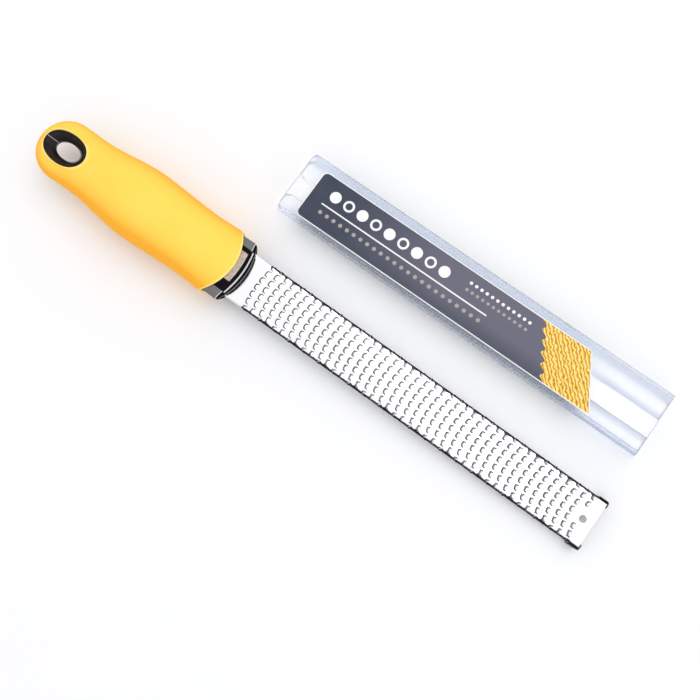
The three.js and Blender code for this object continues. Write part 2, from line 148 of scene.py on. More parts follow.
class ZesterHandle(bpy.types.PropertyGroup):
    """Widths and heights of the handle, at stations measured back from the collar's front corners."""

    length: size("Length", "From the collar's front corners to the butt", 120.0)
    rim_at: size("Rim place", "Where the form starts, ahead of the collar", 5.2)
    rim_width: size("Rim width", "Over the form, ahead of the collar", 36.2)
    rim_height: size("Rim height", "Over the form, ahead of the collar", 21.6)
    mouth_width: size("Mouth width", "Of the grip's front edge", 35.6)
    mouth_height: size("Mouth height", "Of the grip's front edge", 22.4)
    neck_at: size("Neck place", "From the front corners to the narrow place behind the mouth", 23.5)
    neck_width: size("Neck width", "Of the narrow place behind the mouth", 34.5)
    neck_height: size("Neck height", "Of the narrow place behind the mouth", 23.8)
    belly_at: size("Belly place", "From the front corners to the belly", 57.0)
    belly_width: size("Belly width", "Of the grip's widest place", 37.2)
    belly_height: size("Belly height", "Of the grip's thickest place", 27.0)
    waist_at: size("Waist place", "From the front corners to the waist", 92.0)
    waist_width: size("Waist width", "Of the narrow place ahead of the hanging hole", 30.8)
    waist_height: size("Waist height", "Of the narrow place ahead of the hanging hole", 18.5)
    butt_width: size("Butt width", "Of the rounded end", 31.2)
    butt_height: size("Butt height", "Of the rounded end", 14.5)
    squareness: factor("Squareness", "Power of the oval sections, 2 being an ellipse", 2.2)
    # Painted shade: the lit +Y side keeps only this share of the flanks' painted shade
    lit_side_share: factor("Bleached side", "Share of the flanks' deep colour left on the +Y side", 0.5)
    wall: size("Grip wall", "Thickness of the soft grip", 1.2)
    edge_round: size("Edge rounding", "Width of the grip's rounded edges", 0.35)
    gap: size("Gap", "Between the grip and the core", 0.3)
    collar_half: size("Collar half width", "From the axis to a front corner of the collar", 16.6)
    collar_bow: size("Collar bow", "How far the collar's front bows out between its corners", 4.2)
    collar_round: size("Collar rounding", "Depth of the rounding round the collar's front", 1.6)
    collar_ear: size("Collar ears", "Width of the rounding at the collar's front corners", 1.2)
    collar_slope: size("Collar slope", "Height of the rounding along the collar's top front edge", 6.0)
    cheek_from: size(
        "Cheeks from", "From the axis to where the collar's cheeks are thin and let light through", 11.7
    )
    tang_shows: size(
        "Tang shows from", "How far behind the collar's front the tang is seen through it", 1.45
    )
    tang_aside: size("Tang aside", "How far to +Y the tang is seen through the collar", 1.5)
    # Painted highlight along the collar's top front edge, between these two distances
    rim_highlight_from: size(
        "Rim line from", "From the collar's front back to the polished line along its top edge", 0.06
    )
    rim_highlight_to: size(
        "Rim line to", "From the collar's front back to the polished line's other side", 0.30
    )
    # Painted shade: the cheeks stay black along their front edge, where the blade enters the collar
    cheek_front_shade: size("Cheek front", "Black front edge of the grey cheeks", 0.7)
    # Painted highlight low on the collar's front, where it meets the sheet
    seat_highlight: size(
        "Seat line", "Height of the pale line where the collar's front meets the sheet", 0.8
    )
    core_length: size("Core length", "Of the core, back to ahead of the hanging hole", 84.0)
    grip_edge: size("Grip edge", "From the collar's front corners back to those of the grip", 8.8)
    grip_bow: size("Grip bow", "How far the grip's front edge bows out between its corners", 8.8)
    eyelet_length: size("Eyelet length", "Of the hanging hole's mouth along the handle", 23.9)
    eyelet_width: size("Eyelet width", "Of the hanging hole's mouth across the handle", 14.6)
    eyelet_waist: size("Eyelet waist", "Width of the hanging hole at its narrowest", 8.5)
    eyelet_waist_depth: size(
        "Eyelet waist depth", "From the top of the butt down to the narrowest place", 4.7
    )
    eyelet_lip: size("Eyelet lip", "Height of the grip's lip round the hanging hole", 0.2)
    eyelet_rim: size("Eyelet rim", "Width of the liner that shows round the hole", 0.8)
    eyelet_from_butt: size("Eyelet place", "From the butt to the hole's centre", 17.4)
    # Painted highlight: a pale streak in the lining on the butt's side
    highlight_streak_at: size("Moulding line place", "From the axis to the moulding line in the lining", 0.85)
    highlight_streak: size("Moulding line", "Width of the moulding line in the lining", 0.32)


class ZesterCover(bpy.types.PropertyGroup):
    """Sizes of the clear cover and its label."""

    wall: size("Wall", "Thickness of the plastic", 1.2)
    edge_round: size("Edge rounding", "Width of the cover's rounded edges", 0.2)
    shoulder: size("Shoulder radius", "Of the rounding along the top's edges", 1.6)
    foot: size("Foot radius", "Of the rounding along the bottom's edges", 3.0)
    slot: size("Slot", "Between the lips underneath", 10.6)
    trim: size("Trim", "How much narrower than its place the cover is, on the +Y side", 1.2)
    margin: size("Margin", "Width of the tinted margins along both sides", 3.4)
    lip_band: size("Lip band", "Width of the tinted edges of the lips beside the slot", 4.2)
    end_depth: size("End depth", "Of the oval corners of the rear end, along the cover", 2.0)
    end_corner: size("End corner", "Of the oval corners of the rear end, across the cover", 5.0)
    end_lean: size("End lean", "How far the lips reach beyond the top at both ends", 3.0)
    lip_corner: size("Lip corner", "Radius of the lips' corners at the rear end", 2.6)
    label_corner: size("Label corner", "Radius of the label's corners at the handle end", 3.0)
    label_slant: size("Label slant", "How far the label's other end is cut back", 15.2)
    label_edge: size("Label edge", "Width of the white cut edge round the label", 0.45)


class ZesterFinish(bpy.types.PropertyGroup):
    """Colours of the pieces."""

    grip: colour("Grip", "Soft yellow rubber", 1.0, 0.71, 0.115)
    grip_shade: colour("Grip clouds", "Deeper yellow that varies over the grip", 1.0, 0.68, 0.095)
    # Painted shade: the deep yellow of the grip's sides stands for the shade there
    grip_flank_shade: colour(
        "Grip flanks", "Deep yellow of the grip's sides, which are handled least", 1.0, 0.46, 0.028
    )
    # Painted highlight: paler yellow along the grip's front edge and round the hanging hole
    grip_edge_highlight: colour("Grip edges", "Paler yellow along the grip's edges", 1.0, 0.80, 0.24)
    grip_sheen: colour("Grip sheen", "Tint of the grip's soft sheen", 1.0, 0.42, 0.08)
    smoke: colour("Smoke", "Smoke plastic where it is thick", 0.010, 0.009, 0.011)
    smoke_thin: colour(
        "Thin smoke", "Smoke plastic in the collar's cheeks, where light comes through", 0.19, 0.187, 0.184
    )
    # Painted reflection: brownish clouds in the lining
    smoke_reflection: colour(
        "Warm smoke", "Brownish clouds in the lining of the hanging hole", 0.036, 0.024, 0.021
    )
    # Painted highlights round the lining's waist and as a streak on the butt's side
    smoke_highlight: colour(
        "Rubbed smoke", "Bright moulding line and waist edge of the lining", 0.42, 0.40, 0.42
    )
    tang: colour("Tang", "Steel of the tang seen through the smoke plastic", 0.64, 0.52, 0.44)
    tang_shade: colour(
        "Tang clouds", "Darker clouds of the tang seen through the plastic", 0.42, 0.35, 0.31
    )
    # Painted highlight: pale lines on the collar's top front edge, the cheeks' front and the seat
    rim_highlight: colour("Rim line", "Polished line along the collar's top front edge", 0.78, 0.77, 0.80)
    steel: colour("Steel", "Bright sheet steel", 0.965, 0.97, 0.98)
    # Painted dark reflection along the folds and painted shade on the slits' edges and walls
    painted_dark: colour("Etched steel", "Steel that is etched, along folds and slits", 0.03, 0.03, 0.045)
    tip: colour("End tips", "Black plastic", 0.075, 0.076, 0.084)
    clear: colour("Cover", "Tint of the clear plastic", 0.97, 0.975, 0.985)
    clear_lip: colour(
        "Cover lips", "Tint of the turned-in lips beside the slot, where they are bare", 0.72, 0.745, 0.815
    )
    clear_margin: colour("Cover margins", "Tint of the margins beside the walls", 0.92, 0.935, 0.965)
    clear_side: colour("Cover sides", "Tint of the upright walls beside the label", 0.84, 0.90, 1.0)
    clear_wall: colour(
        "Cover wall", "Tint of the upright wall on the +Y side, where it is bare", 0.80, 0.835, 0.91
    )
    # Painted shade: the -Y wall, away from the lamp, is tinted darker than the +Y wall
    clear_shaded_wall: colour(
        "Cover thick wall", "Tint of the thicker wall on the zester's side, where bare", 0.56, 0.61, 0.74
    )
    clear_cut: colour("Cover ends", "Frosted cut ends of the cover", 0.84, 0.86, 0.93)
    clear_shadow: colour(
        "Cover shadow", "Tint of the light that the cover lets past", 0.99, 0.99, 0.995
    )
    label: colour("Label", "Charcoal ground of the label", 0.037, 0.050, 0.084)
    label_cloud: colour("Label clouds", "Clouds in the label's ground", 0.052, 0.058, 0.088)
    # Painted light: the ground is paler towards the label's front and its +Y side
    label_lit: colour("Label faded", "Ground of the label where it has paled", 0.132, 0.130, 0.178)
    label_white: colour("Label white", "White shapes of the label", 0.90, 0.90, 0.90)
    label_grey: colour("Label grey", "Warm grey shapes of the label", 0.40, 0.35, 0.33)
    label_back: colour("Label back", "White back of the label", 0.86, 0.87, 0.92)
    label_gold: colour("Label gold", "Golden end of the label", 0.88, 0.56, 0.07)
    label_orange: colour("Label orange", "Deep stripes of the golden end", 0.55, 0.22, 0.02)
    label_pale: colour("Label pale gold", "Pale stripes of the golden end", 0.95, 0.76, 0.26)


class ZesterStage(bpy.types.PropertyGroup):
    """Camera, lamp and table."""

    eye: place("Camera", "Place of the camera", 56.40, -52.35, 319.53)
    aim: place("Aim", "Point of the table in the picture's centre", 22.86, -24.67, 0.0)
    turn: tilt("Turn", "Turn of the picture about its centre", 14.877)
    lens: factor("Lens", "Focal length in millimetres", 33.94)
    sensor: factor("Sensor", "Width of the sensor in millimetres", 36.0)
    table: colour("Table", "White table top", 0.92, 0.925, 0.945)
    table_size: size("Table size", "Side of the table top", 4000.0)
    ambient: factor("Ambient", "Strength of the light from all round", 0.92)
    walls: factor("Walls", "Brightness of the room's walls in reflections", 0.3)
    lamp: factor("Lamp", "Power of the soft lamp in watts", 6.0)
    lamp_at: place("Lamp place", "Centre of the soft lamp", 250.0, 650.0, 1400.0)
    lamp_size: size("Lamp size", "Side of the soft lamp", 1300.0)


# Shapes


def tool_to_table(points):
    """Points of the zester's own frame in the row frame: x and z turned nose down by the rest angle,
    then moved so that the blade's end, underside and middle lie where they do in the CAD model."""
    blade = bpy.context.scene.zester_blade
    low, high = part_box("blade")
    cosine, sine = math.cos(blade.rest_angle), math.sin(blade.rest_angle)
    x, y, z = np.moveaxis(points, -1, 0)
    origin_x = high.x - blade.length * cosine
    origin_y = 0.5 * (low.y + high.y)
    origin_z = low.z + blade.depth * cosine + blade.length * sine
    return np.stack(
        [x * cosine + z * sine + origin_x, y + origin_y, z * cosine - x * sine + origin_z], axis=-1
    )


def grid_faces(ids, closed=False):
    """Quads between neighbouring rows and columns of a grid of vertex numbers, counterclockwise with the
    rows to the right and the columns upwards; a closed grid also joins its last column to its first."""
    if closed:
        ids = np.concatenate([ids, ids[:, :1]], axis=1)
    corners = [ids[:-1, :-1], ids[1:, :-1], ids[1:, 1:], ids[:-1, 1:]]
    return np.stack(corners, axis=-1).reshape(-1, 4)


def ring_faces(outer, inner):
    """Quads between two closed loops of vertex numbers, counterclockwise where the outer loop is so."""
    corners = [outer, np.roll(outer, -1, axis=-1), np.roll(inner, -1, axis=-1), inner]
    return np.stack(corners, axis=-1).reshape(-1, 4)


def thickened(outer, inner, faces):
    """A closed wall between a surface and its inner copy: the faces, the same faces turned round on the
    copy, and a quad along each edge that only one face has."""
    count = len(outer)
    edges = np.concatenate(
        [np.stack([part, np.roll(part, -1, axis=1)], axis=-1).reshape(-1, 2) for part in faces]
    )
    there = edges[:, 0] * count + edges[:, 1]
    back = edges[:, 1] * count + edges[:, 0]
    a, b = edges[~np.isin(back, there)].T
    rim = np.stack([b, a, a + count, b + count], axis=-1)
    turned = [part[:, ::-1] + count for part in faces]
    return np.concatenate([outer, inner]), [*faces, *turned, rim]


def trimmed(points, faces):
    """The points that faces use, in their old order, and the faces numbered anew."""
    used, numbers = np.unique(np.concatenate([part.ravel() for part in faces]), return_inverse=True)
    ends = np.cumsum([part.size for part in faces])[:-1]
    faces = [new.reshape(part.shape) for new, part in zip(np.split(numbers, ends), faces)]
    return points[used], faces


def surface_normals(points, faces):
    """Unit normals at the vertices: the sum of the normals of the faces that meet there, each the cross
    product of the face's diagonals or of two of its sides."""
    total = np.zeros_like(points)
    for part in faces:
        corners = points[part]
        across = corners[:, 2] - corners[:, 0]
        along = corners[:, -1] - corners[:, 1]
        facing = np.cross(across, along)
        np.add.at(total, part.ravel(), np.repeat(facing, part.shape[1], axis=0))
    return total / np.linalg.norm(total, axis=1, keepdims=True)


def full_turn():
    """Evenly spaced angles round a section or an oval, from 0."""
    return 2 * np.pi * np.arange(ROUND_STEPS) / ROUND_STEPS


def smooth_through(x, stations, values):
    """A smooth curve through values at rising stations: cubic pieces whose slopes at the stations are
    those of the parabola through each three neighbours, level at the first and at highs and lows."""
    slopes = np.gradient(values, stations)
    steps = np.diff(values)
    slopes[0] = 0.0
    slopes[1:-1][steps[1:] * steps[:-1] <= 0] = 0.0
    i = np.clip(np.searchsorted(stations, x) - 1, 0, len(stations) - 2)
    step = stations[i + 1] - stations[i]
    t = (x - stations[i]) / step
    return (
        values[i] * (1 + 2 * t) * (1 - t) ** 2
        + slopes[i] * step * t * (1 - t) ** 2
        + values[i + 1] * t**2 * (3 - 2 * t)
        + slopes[i + 1] * step * t**2 * (t - 1)
    )


def bowed_front(y, corner, half, bow):
    """x of a front edge that is an arc in plan, through both corners and out by the bow between them."""
    radius = (half**2 + bow**2) / (2 * bow)
    return corner + bow - radius + np.sqrt(radius**2 - np.minimum(np.abs(y), half) ** 2)


def handle_halves(x, handle, inset):
    """Half width and half height of the handle's form at x, drawn in by an inset: a smooth curve through
    the stations, and behind the last one a quarter ellipse down to the butt."""
    radius = handle.butt_width / 2
    start = radius - handle.length
    stations = np.array(
        [start, -handle.waist_at, -handle.belly_at, -handle.neck_at, -handle.grip_edge, handle.rim_at]
    )
    names = ("butt", "waist", "belly", "neck", "mouth", "rim")
    widths = np.array([getattr(handle, f"{name}_width") for name in names])
    heights = np.array([getattr(handle, f"{name}_height") for name in names])
    body = np.clip(x, start, handle.rim_at)
    behind = np.clip((start - x) / (radius - inset), 0.0, 1.0)
    fall = np.sqrt(1.0 - behind**2)
    half_width = smooth_through(body, stations, widths / 2) - inset
    half_height = smooth_through(body, stations, heights / 2) - inset
    return half_width * fall, half_height * fall


def bulge(value, squareness):
    """A cosine or sine raised to 2 over the squareness, with its sign kept, for a squarish oval."""
    return np.sign(value) * np.abs(value) ** (2 / squareness)


def handle_skin(x, angle, handle, inset):
    """Points of the handle's form: at each x an oval whose half width and half height multiply the
    bulged cosine and sine of the angle, which starts at +Y and turns over the top."""
    half_width, half_height = handle_halves(x, handle, inset)
    y = half_width * bulge(np.cos(angle), handle.squareness)
    z = half_height * bulge(np.sin(angle), handle.squareness)
    return np.stack(np.broadcast_arrays(x, y, z), axis=-1)


def grip_span(angle, handle):
    """x of the grip's bowed front edge at an angle round, x of the butt's start, and the butt's length."""
    half = handle.butt_width / 2
    y = handle.mouth_width / 2 * bulge(np.cos(angle), handle.squareness)
    front = bowed_front(y, -handle.grip_edge, handle.mouth_width / 2, handle.grip_bow)
    return front, half - handle.length, half - GRIP_INSET


def grip_x(along, angle, handle):
    """x at a share of the way along the grip: 0 is the bowed front edge, 1 the start of the butt and
    2 its end, the butt being a quarter turn of sine."""
    front, start, radius = grip_span(angle, handle)
    body = front + np.minimum(along, 1.0) * (start - front)
    return body - radius * np.sin(np.clip(along - 1.0, 0.0, 1.0) * np.pi / 2)


def grip_share(x, angle, handle):
    """The share of the way along the grip that has this x: the reverse of grip_x."""
    front, start, radius = grip_span(angle, handle)
    body = np.minimum((front - x) / (front - start), 1.0)
    return body + np.arcsin(np.clip((start - x) / radius, 0.0, 1.0)) * 2 / np.pi


def eyelet_ring(angle, handle, margin):
    """Plan of the hanging hole grown by a margin: an ellipse about its centre, angle 0 being its +X end."""
    x = handle.eyelet_from_butt - handle.length + (handle.eyelet_length / 2 + margin) * np.cos(angle)
    return x, (handle.eyelet_width / 2 + margin) * np.sin(angle)


def border_of(grid):
    """The values round a grid's border, up its first column first."""
    return np.concatenate([grid[:-1, 0], grid[-1, :-1], grid[:0:-1, -1], grid[0, :0:-1]])


def eyelet_window(ids, along, angle, side, handle):
    """Fills a window of the grip's grid round the hanging hole, on top for side 1 and below for -1.
    Rings run straight, in the grid's two parameters, from the window's border to the hole's oval, and the
    last ones rise to a low lip."""
    along, angle = np.broadcast_arrays(along[:, None], angle[None, :])
    border_along, border_angle = border_of(along), border_of(angle)
    middle_along = 0.5 * (along.min() + along.max())
    middle_angle = 0.5 * (angle.min() + angle.max())
    across = (border_angle - middle_angle) / np.ptp(angle)
    forward = (border_along - middle_along) / np.ptp(along)
    bearing = np.arctan2(across, forward)
    x, y = eyelet_ring(np.pi + side * bearing, handle, handle.eyelet_rim + handle.gap)
    half_width, _ = handle_halves(x, handle, 0.0)
    ratio = np.clip(y / half_width, -1.0, 1.0)
    hole_angle = np.arccos(bulge(ratio, 4 / handle.squareness))
    hole_angle = np.where(side > 0, hole_angle, 2 * np.pi - hole_angle)
    hole_along = grip_share(x, hole_angle, handle)
    rings = 8
    steps = np.linspace(0.0, 1.0, rings + 1)[1:, None]
    ring_along = border_along + steps * (hole_along - border_along)
    ring_angle = border_angle + steps * (hole_angle - border_angle)
    lip_from = 0.8
    lip = handle.eyelet_lip * np.clip((steps - lip_from) / (1 - lip_from), 0.0, 1.0)
    points = handle_skin(grip_x(ring_along, ring_angle, handle), ring_angle, handle, GRIP_INSET - lip)
    return border_of(ids), points


def grip_shell(handle):
    """The soft grip: the handle's form from its bowed front edge to the butt on a grid of share along and
    angle round, with a window for each end of the hanging hole, given its wall inwards. With it go which
    points lie on its edges, for a painted highlight, and how far each point's surface turns to the side,
    for painted shade on the flanks, less on the lit +Y side."""
    body_steps, butt_steps = 72, 20
    window_front, window_rear, window_side = 20, 14, 14
    angle = full_turn()
    body, butt = np.linspace(0.0, 1.0, body_steps + 1), np.linspace(1.0, 2.0, butt_steps + 1)
    along = np.concatenate([body, butt[1:-1]])
    points = handle_skin(grip_x(along[:, None], angle, handle), angle[None, :], handle, GRIP_INSET)
    ids = np.arange(along.size * ROUND_STEPS).reshape(-1, ROUND_STEPS)
    rows = slice(body_steps - window_front, body_steps + window_rear)
    kept = np.ones((along.size - 1, ROUND_STEPS), dtype=bool)
    vertices = [points.reshape(-1, 3)]
    # Points that get the painted highlight: the front edge here, and the lip round each hole below
    edge_highlight = [np.broadcast_to(along[:, None] == 0.0, ids.shape).ravel()]
    faces = []
    count = ids.size
    for side, middle in ((1, ROUND_STEPS // 4), (-1, 3 * ROUND_STEPS // 4)):
        columns = slice(middle - window_side, middle + window_side + 1)
        kept[rows.start : rows.stop - 1, columns.start : columns.stop - 1] = False
        border, rings = eyelet_window(ids[rows, columns], along[rows], angle[columns], side, handle)
        ring_ids = count + np.arange(rings.shape[0] * rings.shape[1]).reshape(rings.shape[:2])
        loops = np.concatenate([border[None, :], ring_ids])
        faces.append(ring_faces(loops[:-1], loops[1:]))
        vertices.append(rings.reshape(-1, 3))
        edge_highlight.append(ring_ids.ravel() >= ring_ids[-1, 0])
        count += ring_ids.size
    faces.append(grid_faces(ids, closed=True)[kept.ravel()])
    last = ids[-1]
    pole = np.full(ROUND_STEPS, count)
    vertices.append(np.array([[GRIP_INSET - handle.length, 0.0, 0.0]]))
    caps = np.stack([last, pole, np.roll(last, -1)], axis=-1)
    skin = np.column_stack([np.concatenate(vertices), np.concatenate([*edge_highlight, [False]])])
    skin, parts = trimmed(skin, [np.concatenate(faces), caps])
    outer, edge_highlight = skin[:, :3], skin[:, 3]
    normals = surface_normals(outer, parts)
    # Painted shade on the flanks: deeper as the surface turns to the side, less on the lit +Y side
    flank_shade = (1 - np.abs(normals[:, 2])) * np.where(normals[:, 1] > 0, handle.lit_side_share, 1.0)
    return thickened(outer, outer - handle.wall * normals, parts), edge_highlight, flank_shade


def core_shell(handle):
    """The smoke core: rings of the handle's form at an inset, from the middle of its bowed front face,
    round a quarter ellipse at its edge, and back to a flat end ahead of the hanging hole. With it goes how
    far each point lies behind the bowed front."""
    angle = full_turn()
    face_rings, edge_rings, body_rings = 8, 13, 40
    first_share, last_share = 0.06, 0.95
    inset = handle.wall + handle.gap
    front_of = lambda y: bowed_front(y, 0.0, handle.collar_half, handle.collar_bow)
    half_width, half_height = handle_halves(np.zeros(1), handle, inset)
    turn = np.concatenate([np.zeros(face_rings), np.linspace(0.0, np.pi / 2, edge_rings)])[:, None]
    face_shares = np.linspace(first_share, last_share, face_rings)
    share = np.concatenate([face_shares, np.ones(edge_rings)])[:, None]
    drawn = 1 - np.sin(turn)
    y = share * (half_width - handle.collar_ear * drawn) * bulge(np.cos(angle), handle.squareness)
    z = share * (half_height - handle.collar_slope * drawn) * bulge(np.sin(angle), handle.squareness)
    face = np.stack([front_of(y) - handle.collar_round * (1 - np.cos(turn)), y, z], axis=-1)
    back = np.linspace(0.0, 1.0, body_rings + 1)[1:, None]
    x = face[-1, :, 0] * (1 - back) - handle.core_length * back
    body = handle_skin(x, angle[None, :], handle, inset)
    points = np.concatenate([face, body])
    behind = (front_of(points[..., 1]) - points[..., 0]).ravel()
    ids = np.arange(len(points) * ROUND_STEPS).reshape(-1, ROUND_STEPS)
    poles = np.array([[handle.collar_bow, 0.0, 0.0], [-handle.core_length, 0.0, 0.0]])
    front_pole, rear_pole = np.full(ROUND_STEPS, ids.size), np.full(ROUND_STEPS, ids.size + 1)
    first = np.stack([front_pole, ids[0], np.roll(ids[0], -1)], axis=-1)
    last = np.stack([rear_pole, np.roll(ids[-1], -1), ids[-1]], axis=-1)
    shell = np.concatenate([points.reshape(-1, 3), poles]), [grid_faces(ids, closed=True), first, last]
    return shell, np.concatenate([behind, [0.0, handle.core_length]])


def liner_shell(handle):
    """The lining of the hanging hole: a closed profile carried round the oval. Its rims are round and lie
    flush with the grip. Inside, it narrows from both rims to the waist by a power of the share of the
    height, the waist being a little below the upper rim. With it goes which points lie on the waist."""
    narrowing_power, upper_steps, lower_steps, rim_steps = 1.6, 15, 19, 9
    angle = full_turn()[:, None]
    rim_x, rim_y = eyelet_ring(angle, handle, handle.eyelet_rim)
    half_width, half_height = handle_halves(rim_x, handle, GRIP_INSET)
    top = half_height * (1 - (np.abs(rim_y) / half_width) ** handle.squareness) ** (1 / handle.squareness)
    half_rim = handle.eyelet_rim / 2
    waist = handle.butt_height / 2 - handle.eyelet_waist_depth
    share = np.concatenate([np.linspace(1.0, 0.0, upper_steps), -np.linspace(0.0, 1.0, lower_steps)[1:]])
    upper, lower = np.maximum(share, 0.0), np.maximum(-share, 0.0)
    narrowing = 1 - (upper + lower) ** narrowing_power
    in_z = waist + upper * (top - half_rim - waist) - lower * (top - half_rim + waist)
    ratio = 1 - narrowing * (1 - handle.eyelet_waist / handle.eyelet_width)
    mouth_x, mouth_y = eyelet_ring(angle, handle, 0.0)
    centre = handle.eyelet_from_butt - handle.length
    inside = np.stack([centre + ratio * (mouth_x - centre), ratio * mouth_y, in_z], axis=-1)
    curl = np.linspace(0.0, np.pi, rim_steps)[1:-1]
    margin = half_rim - half_rim * np.cos(curl)
    curl_x, curl_y = eyelet_ring(angle, handle, margin)
    lift = top - half_rim + half_rim * np.sin(curl)
    below = np.stack([curl_x, curl_y, -lift], axis=-1)
    above = np.stack([curl_x, curl_y, lift], axis=-1)[:, ::-1]
    outer_z = (top - half_rim) * np.array([-1.0, 1.0])
    outside = np.stack(np.broadcast_arrays(rim_x, rim_y, outer_z), axis=-1)
    points = np.concatenate([inside, below, outside, above], axis=1)
    ids = np.arange(points.shape[0] * points.shape[1]).reshape(points.shape[:2])
    ids = np.concatenate([ids, ids[:1]])
    ridge = np.broadcast_to(np.arange(points.shape[1]) == np.argmin(np.abs(share)), points.shape[:2])
    return (points.reshape(-1, 3), [grid_faces(ids, closed=True)]), ridge.ravel()


def fold(x, across, above, blade):
    """Carries the flat sheet over its folds: up to the bend a point keeps its place across, then it turns
    through run over radius, and past a quarter turn it goes straight down."""
    run = np.abs(across)
    flat = blade.width / 2 - blade.bend
    turn = np.clip((run - flat) / blade.bend, 0.0, np.pi / 2)
    drop = np.maximum(run - flat - blade.bend * np.pi / 2, 0.0)
    reach = blade.bend + above
    y = np.sign(across) * (np.minimum(run, flat) + reach * np.sin(turn))
    return np.stack([x, y, reach * np.cos(turn) - blade.bend - drop], axis=-1)


def tooth_template(blade):
    """One tooth about its centre as x, across and height: the points round its slit with those of its root
    among them, then those on the edge of its tongue. Both are halves of squarish ovals that bulge towards
    the handle, and the tongue rises evenly from its root."""
    half = blade.tooth_width / 2
    bend = np.pi * (0.5 + np.arange(9) / 8)
    back, aside = bulge(np.cos(bend), blade.tooth_squareness), bulge(np.sin(bend), blade.tooth_squareness)
    slit = np.stack([blade.tooth_depth * back, half * aside], axis=-1)
    tongue_half = half - blade.tooth_slit
    tongue_depth = blade.tooth_depth - blade.tooth_slit + blade.tooth_notch
    tongue = np.stack([blade.tooth_notch + tongue_depth * back, tongue_half * aside], axis=-1)
    root = [tongue[8], [blade.tooth_notch, 0.0], tongue[0]]
    flat = np.concatenate([slit[1:], root, slit[:1], tongue[1:8]])
    height = np.zeros(len(flat))
    height[SLIT_POINTS:] = blade.tooth_rise * (blade.tooth_notch - tongue[1:8, 0]) / tongue_depth
    return np.column_stack([flat, height])


def tooth_faces(border, ids):
    """Faces of teeth from the vertex numbers of their cells' borders and of their own points: quads between
    border and slit, and a fan from the middle of the root to the tongue's edge."""
    sheet = ring_faces(border, ids[:, :SLIT_POINTS])
    last, middle, first = ROOT_POINTS
    edge = np.concatenate([ids[:, [first]], ids[:, SLIT_POINTS:], ids[:, [last]]], axis=1)
    root = np.broadcast_to(ids[:, [middle]], edge[:, 1:].shape)
    fan = np.stack([root, edge[:, :-1], edge[:, 1:]], axis=-1).reshape(-1, 3)
    return sheet, fan


def row_bow(across, blade):
    """How far forward the arc of a row lies at a place across the sheet."""
    return blade.row_radius - np.sqrt(blade.row_radius**2 - across**2)


def tooth_places(blade, side_columns):
    """Row and quarter column of each tooth: rows staggered by a share of the pitch, in quarters, over four
    rows, without teeth that would reach past the sheet's last columns or into the tip hole."""
    side_teeth = side_columns // 4 + 1
    teeth = np.arange(-side_teeth, side_teeth + 1)
    row, column = np.meshgrid(np.arange(blade.row_count), teeth, indexing="ij")
    column = 4 * column + np.array([0, 1, -1, 2])[row % 4]
    across = column * blade.tooth_pitch / 4
    along = blade.first_row + row * blade.row_pitch + row_bow(across, blade)
    from_hole = np.hypot(along - blade.length + blade.hole_from_end, across)
    wanted = (np.abs(column) <= side_columns - 2) & (from_hole >= blade.hole / 2 + blade.tooth_width)
    return row[wanted], column[wanted]


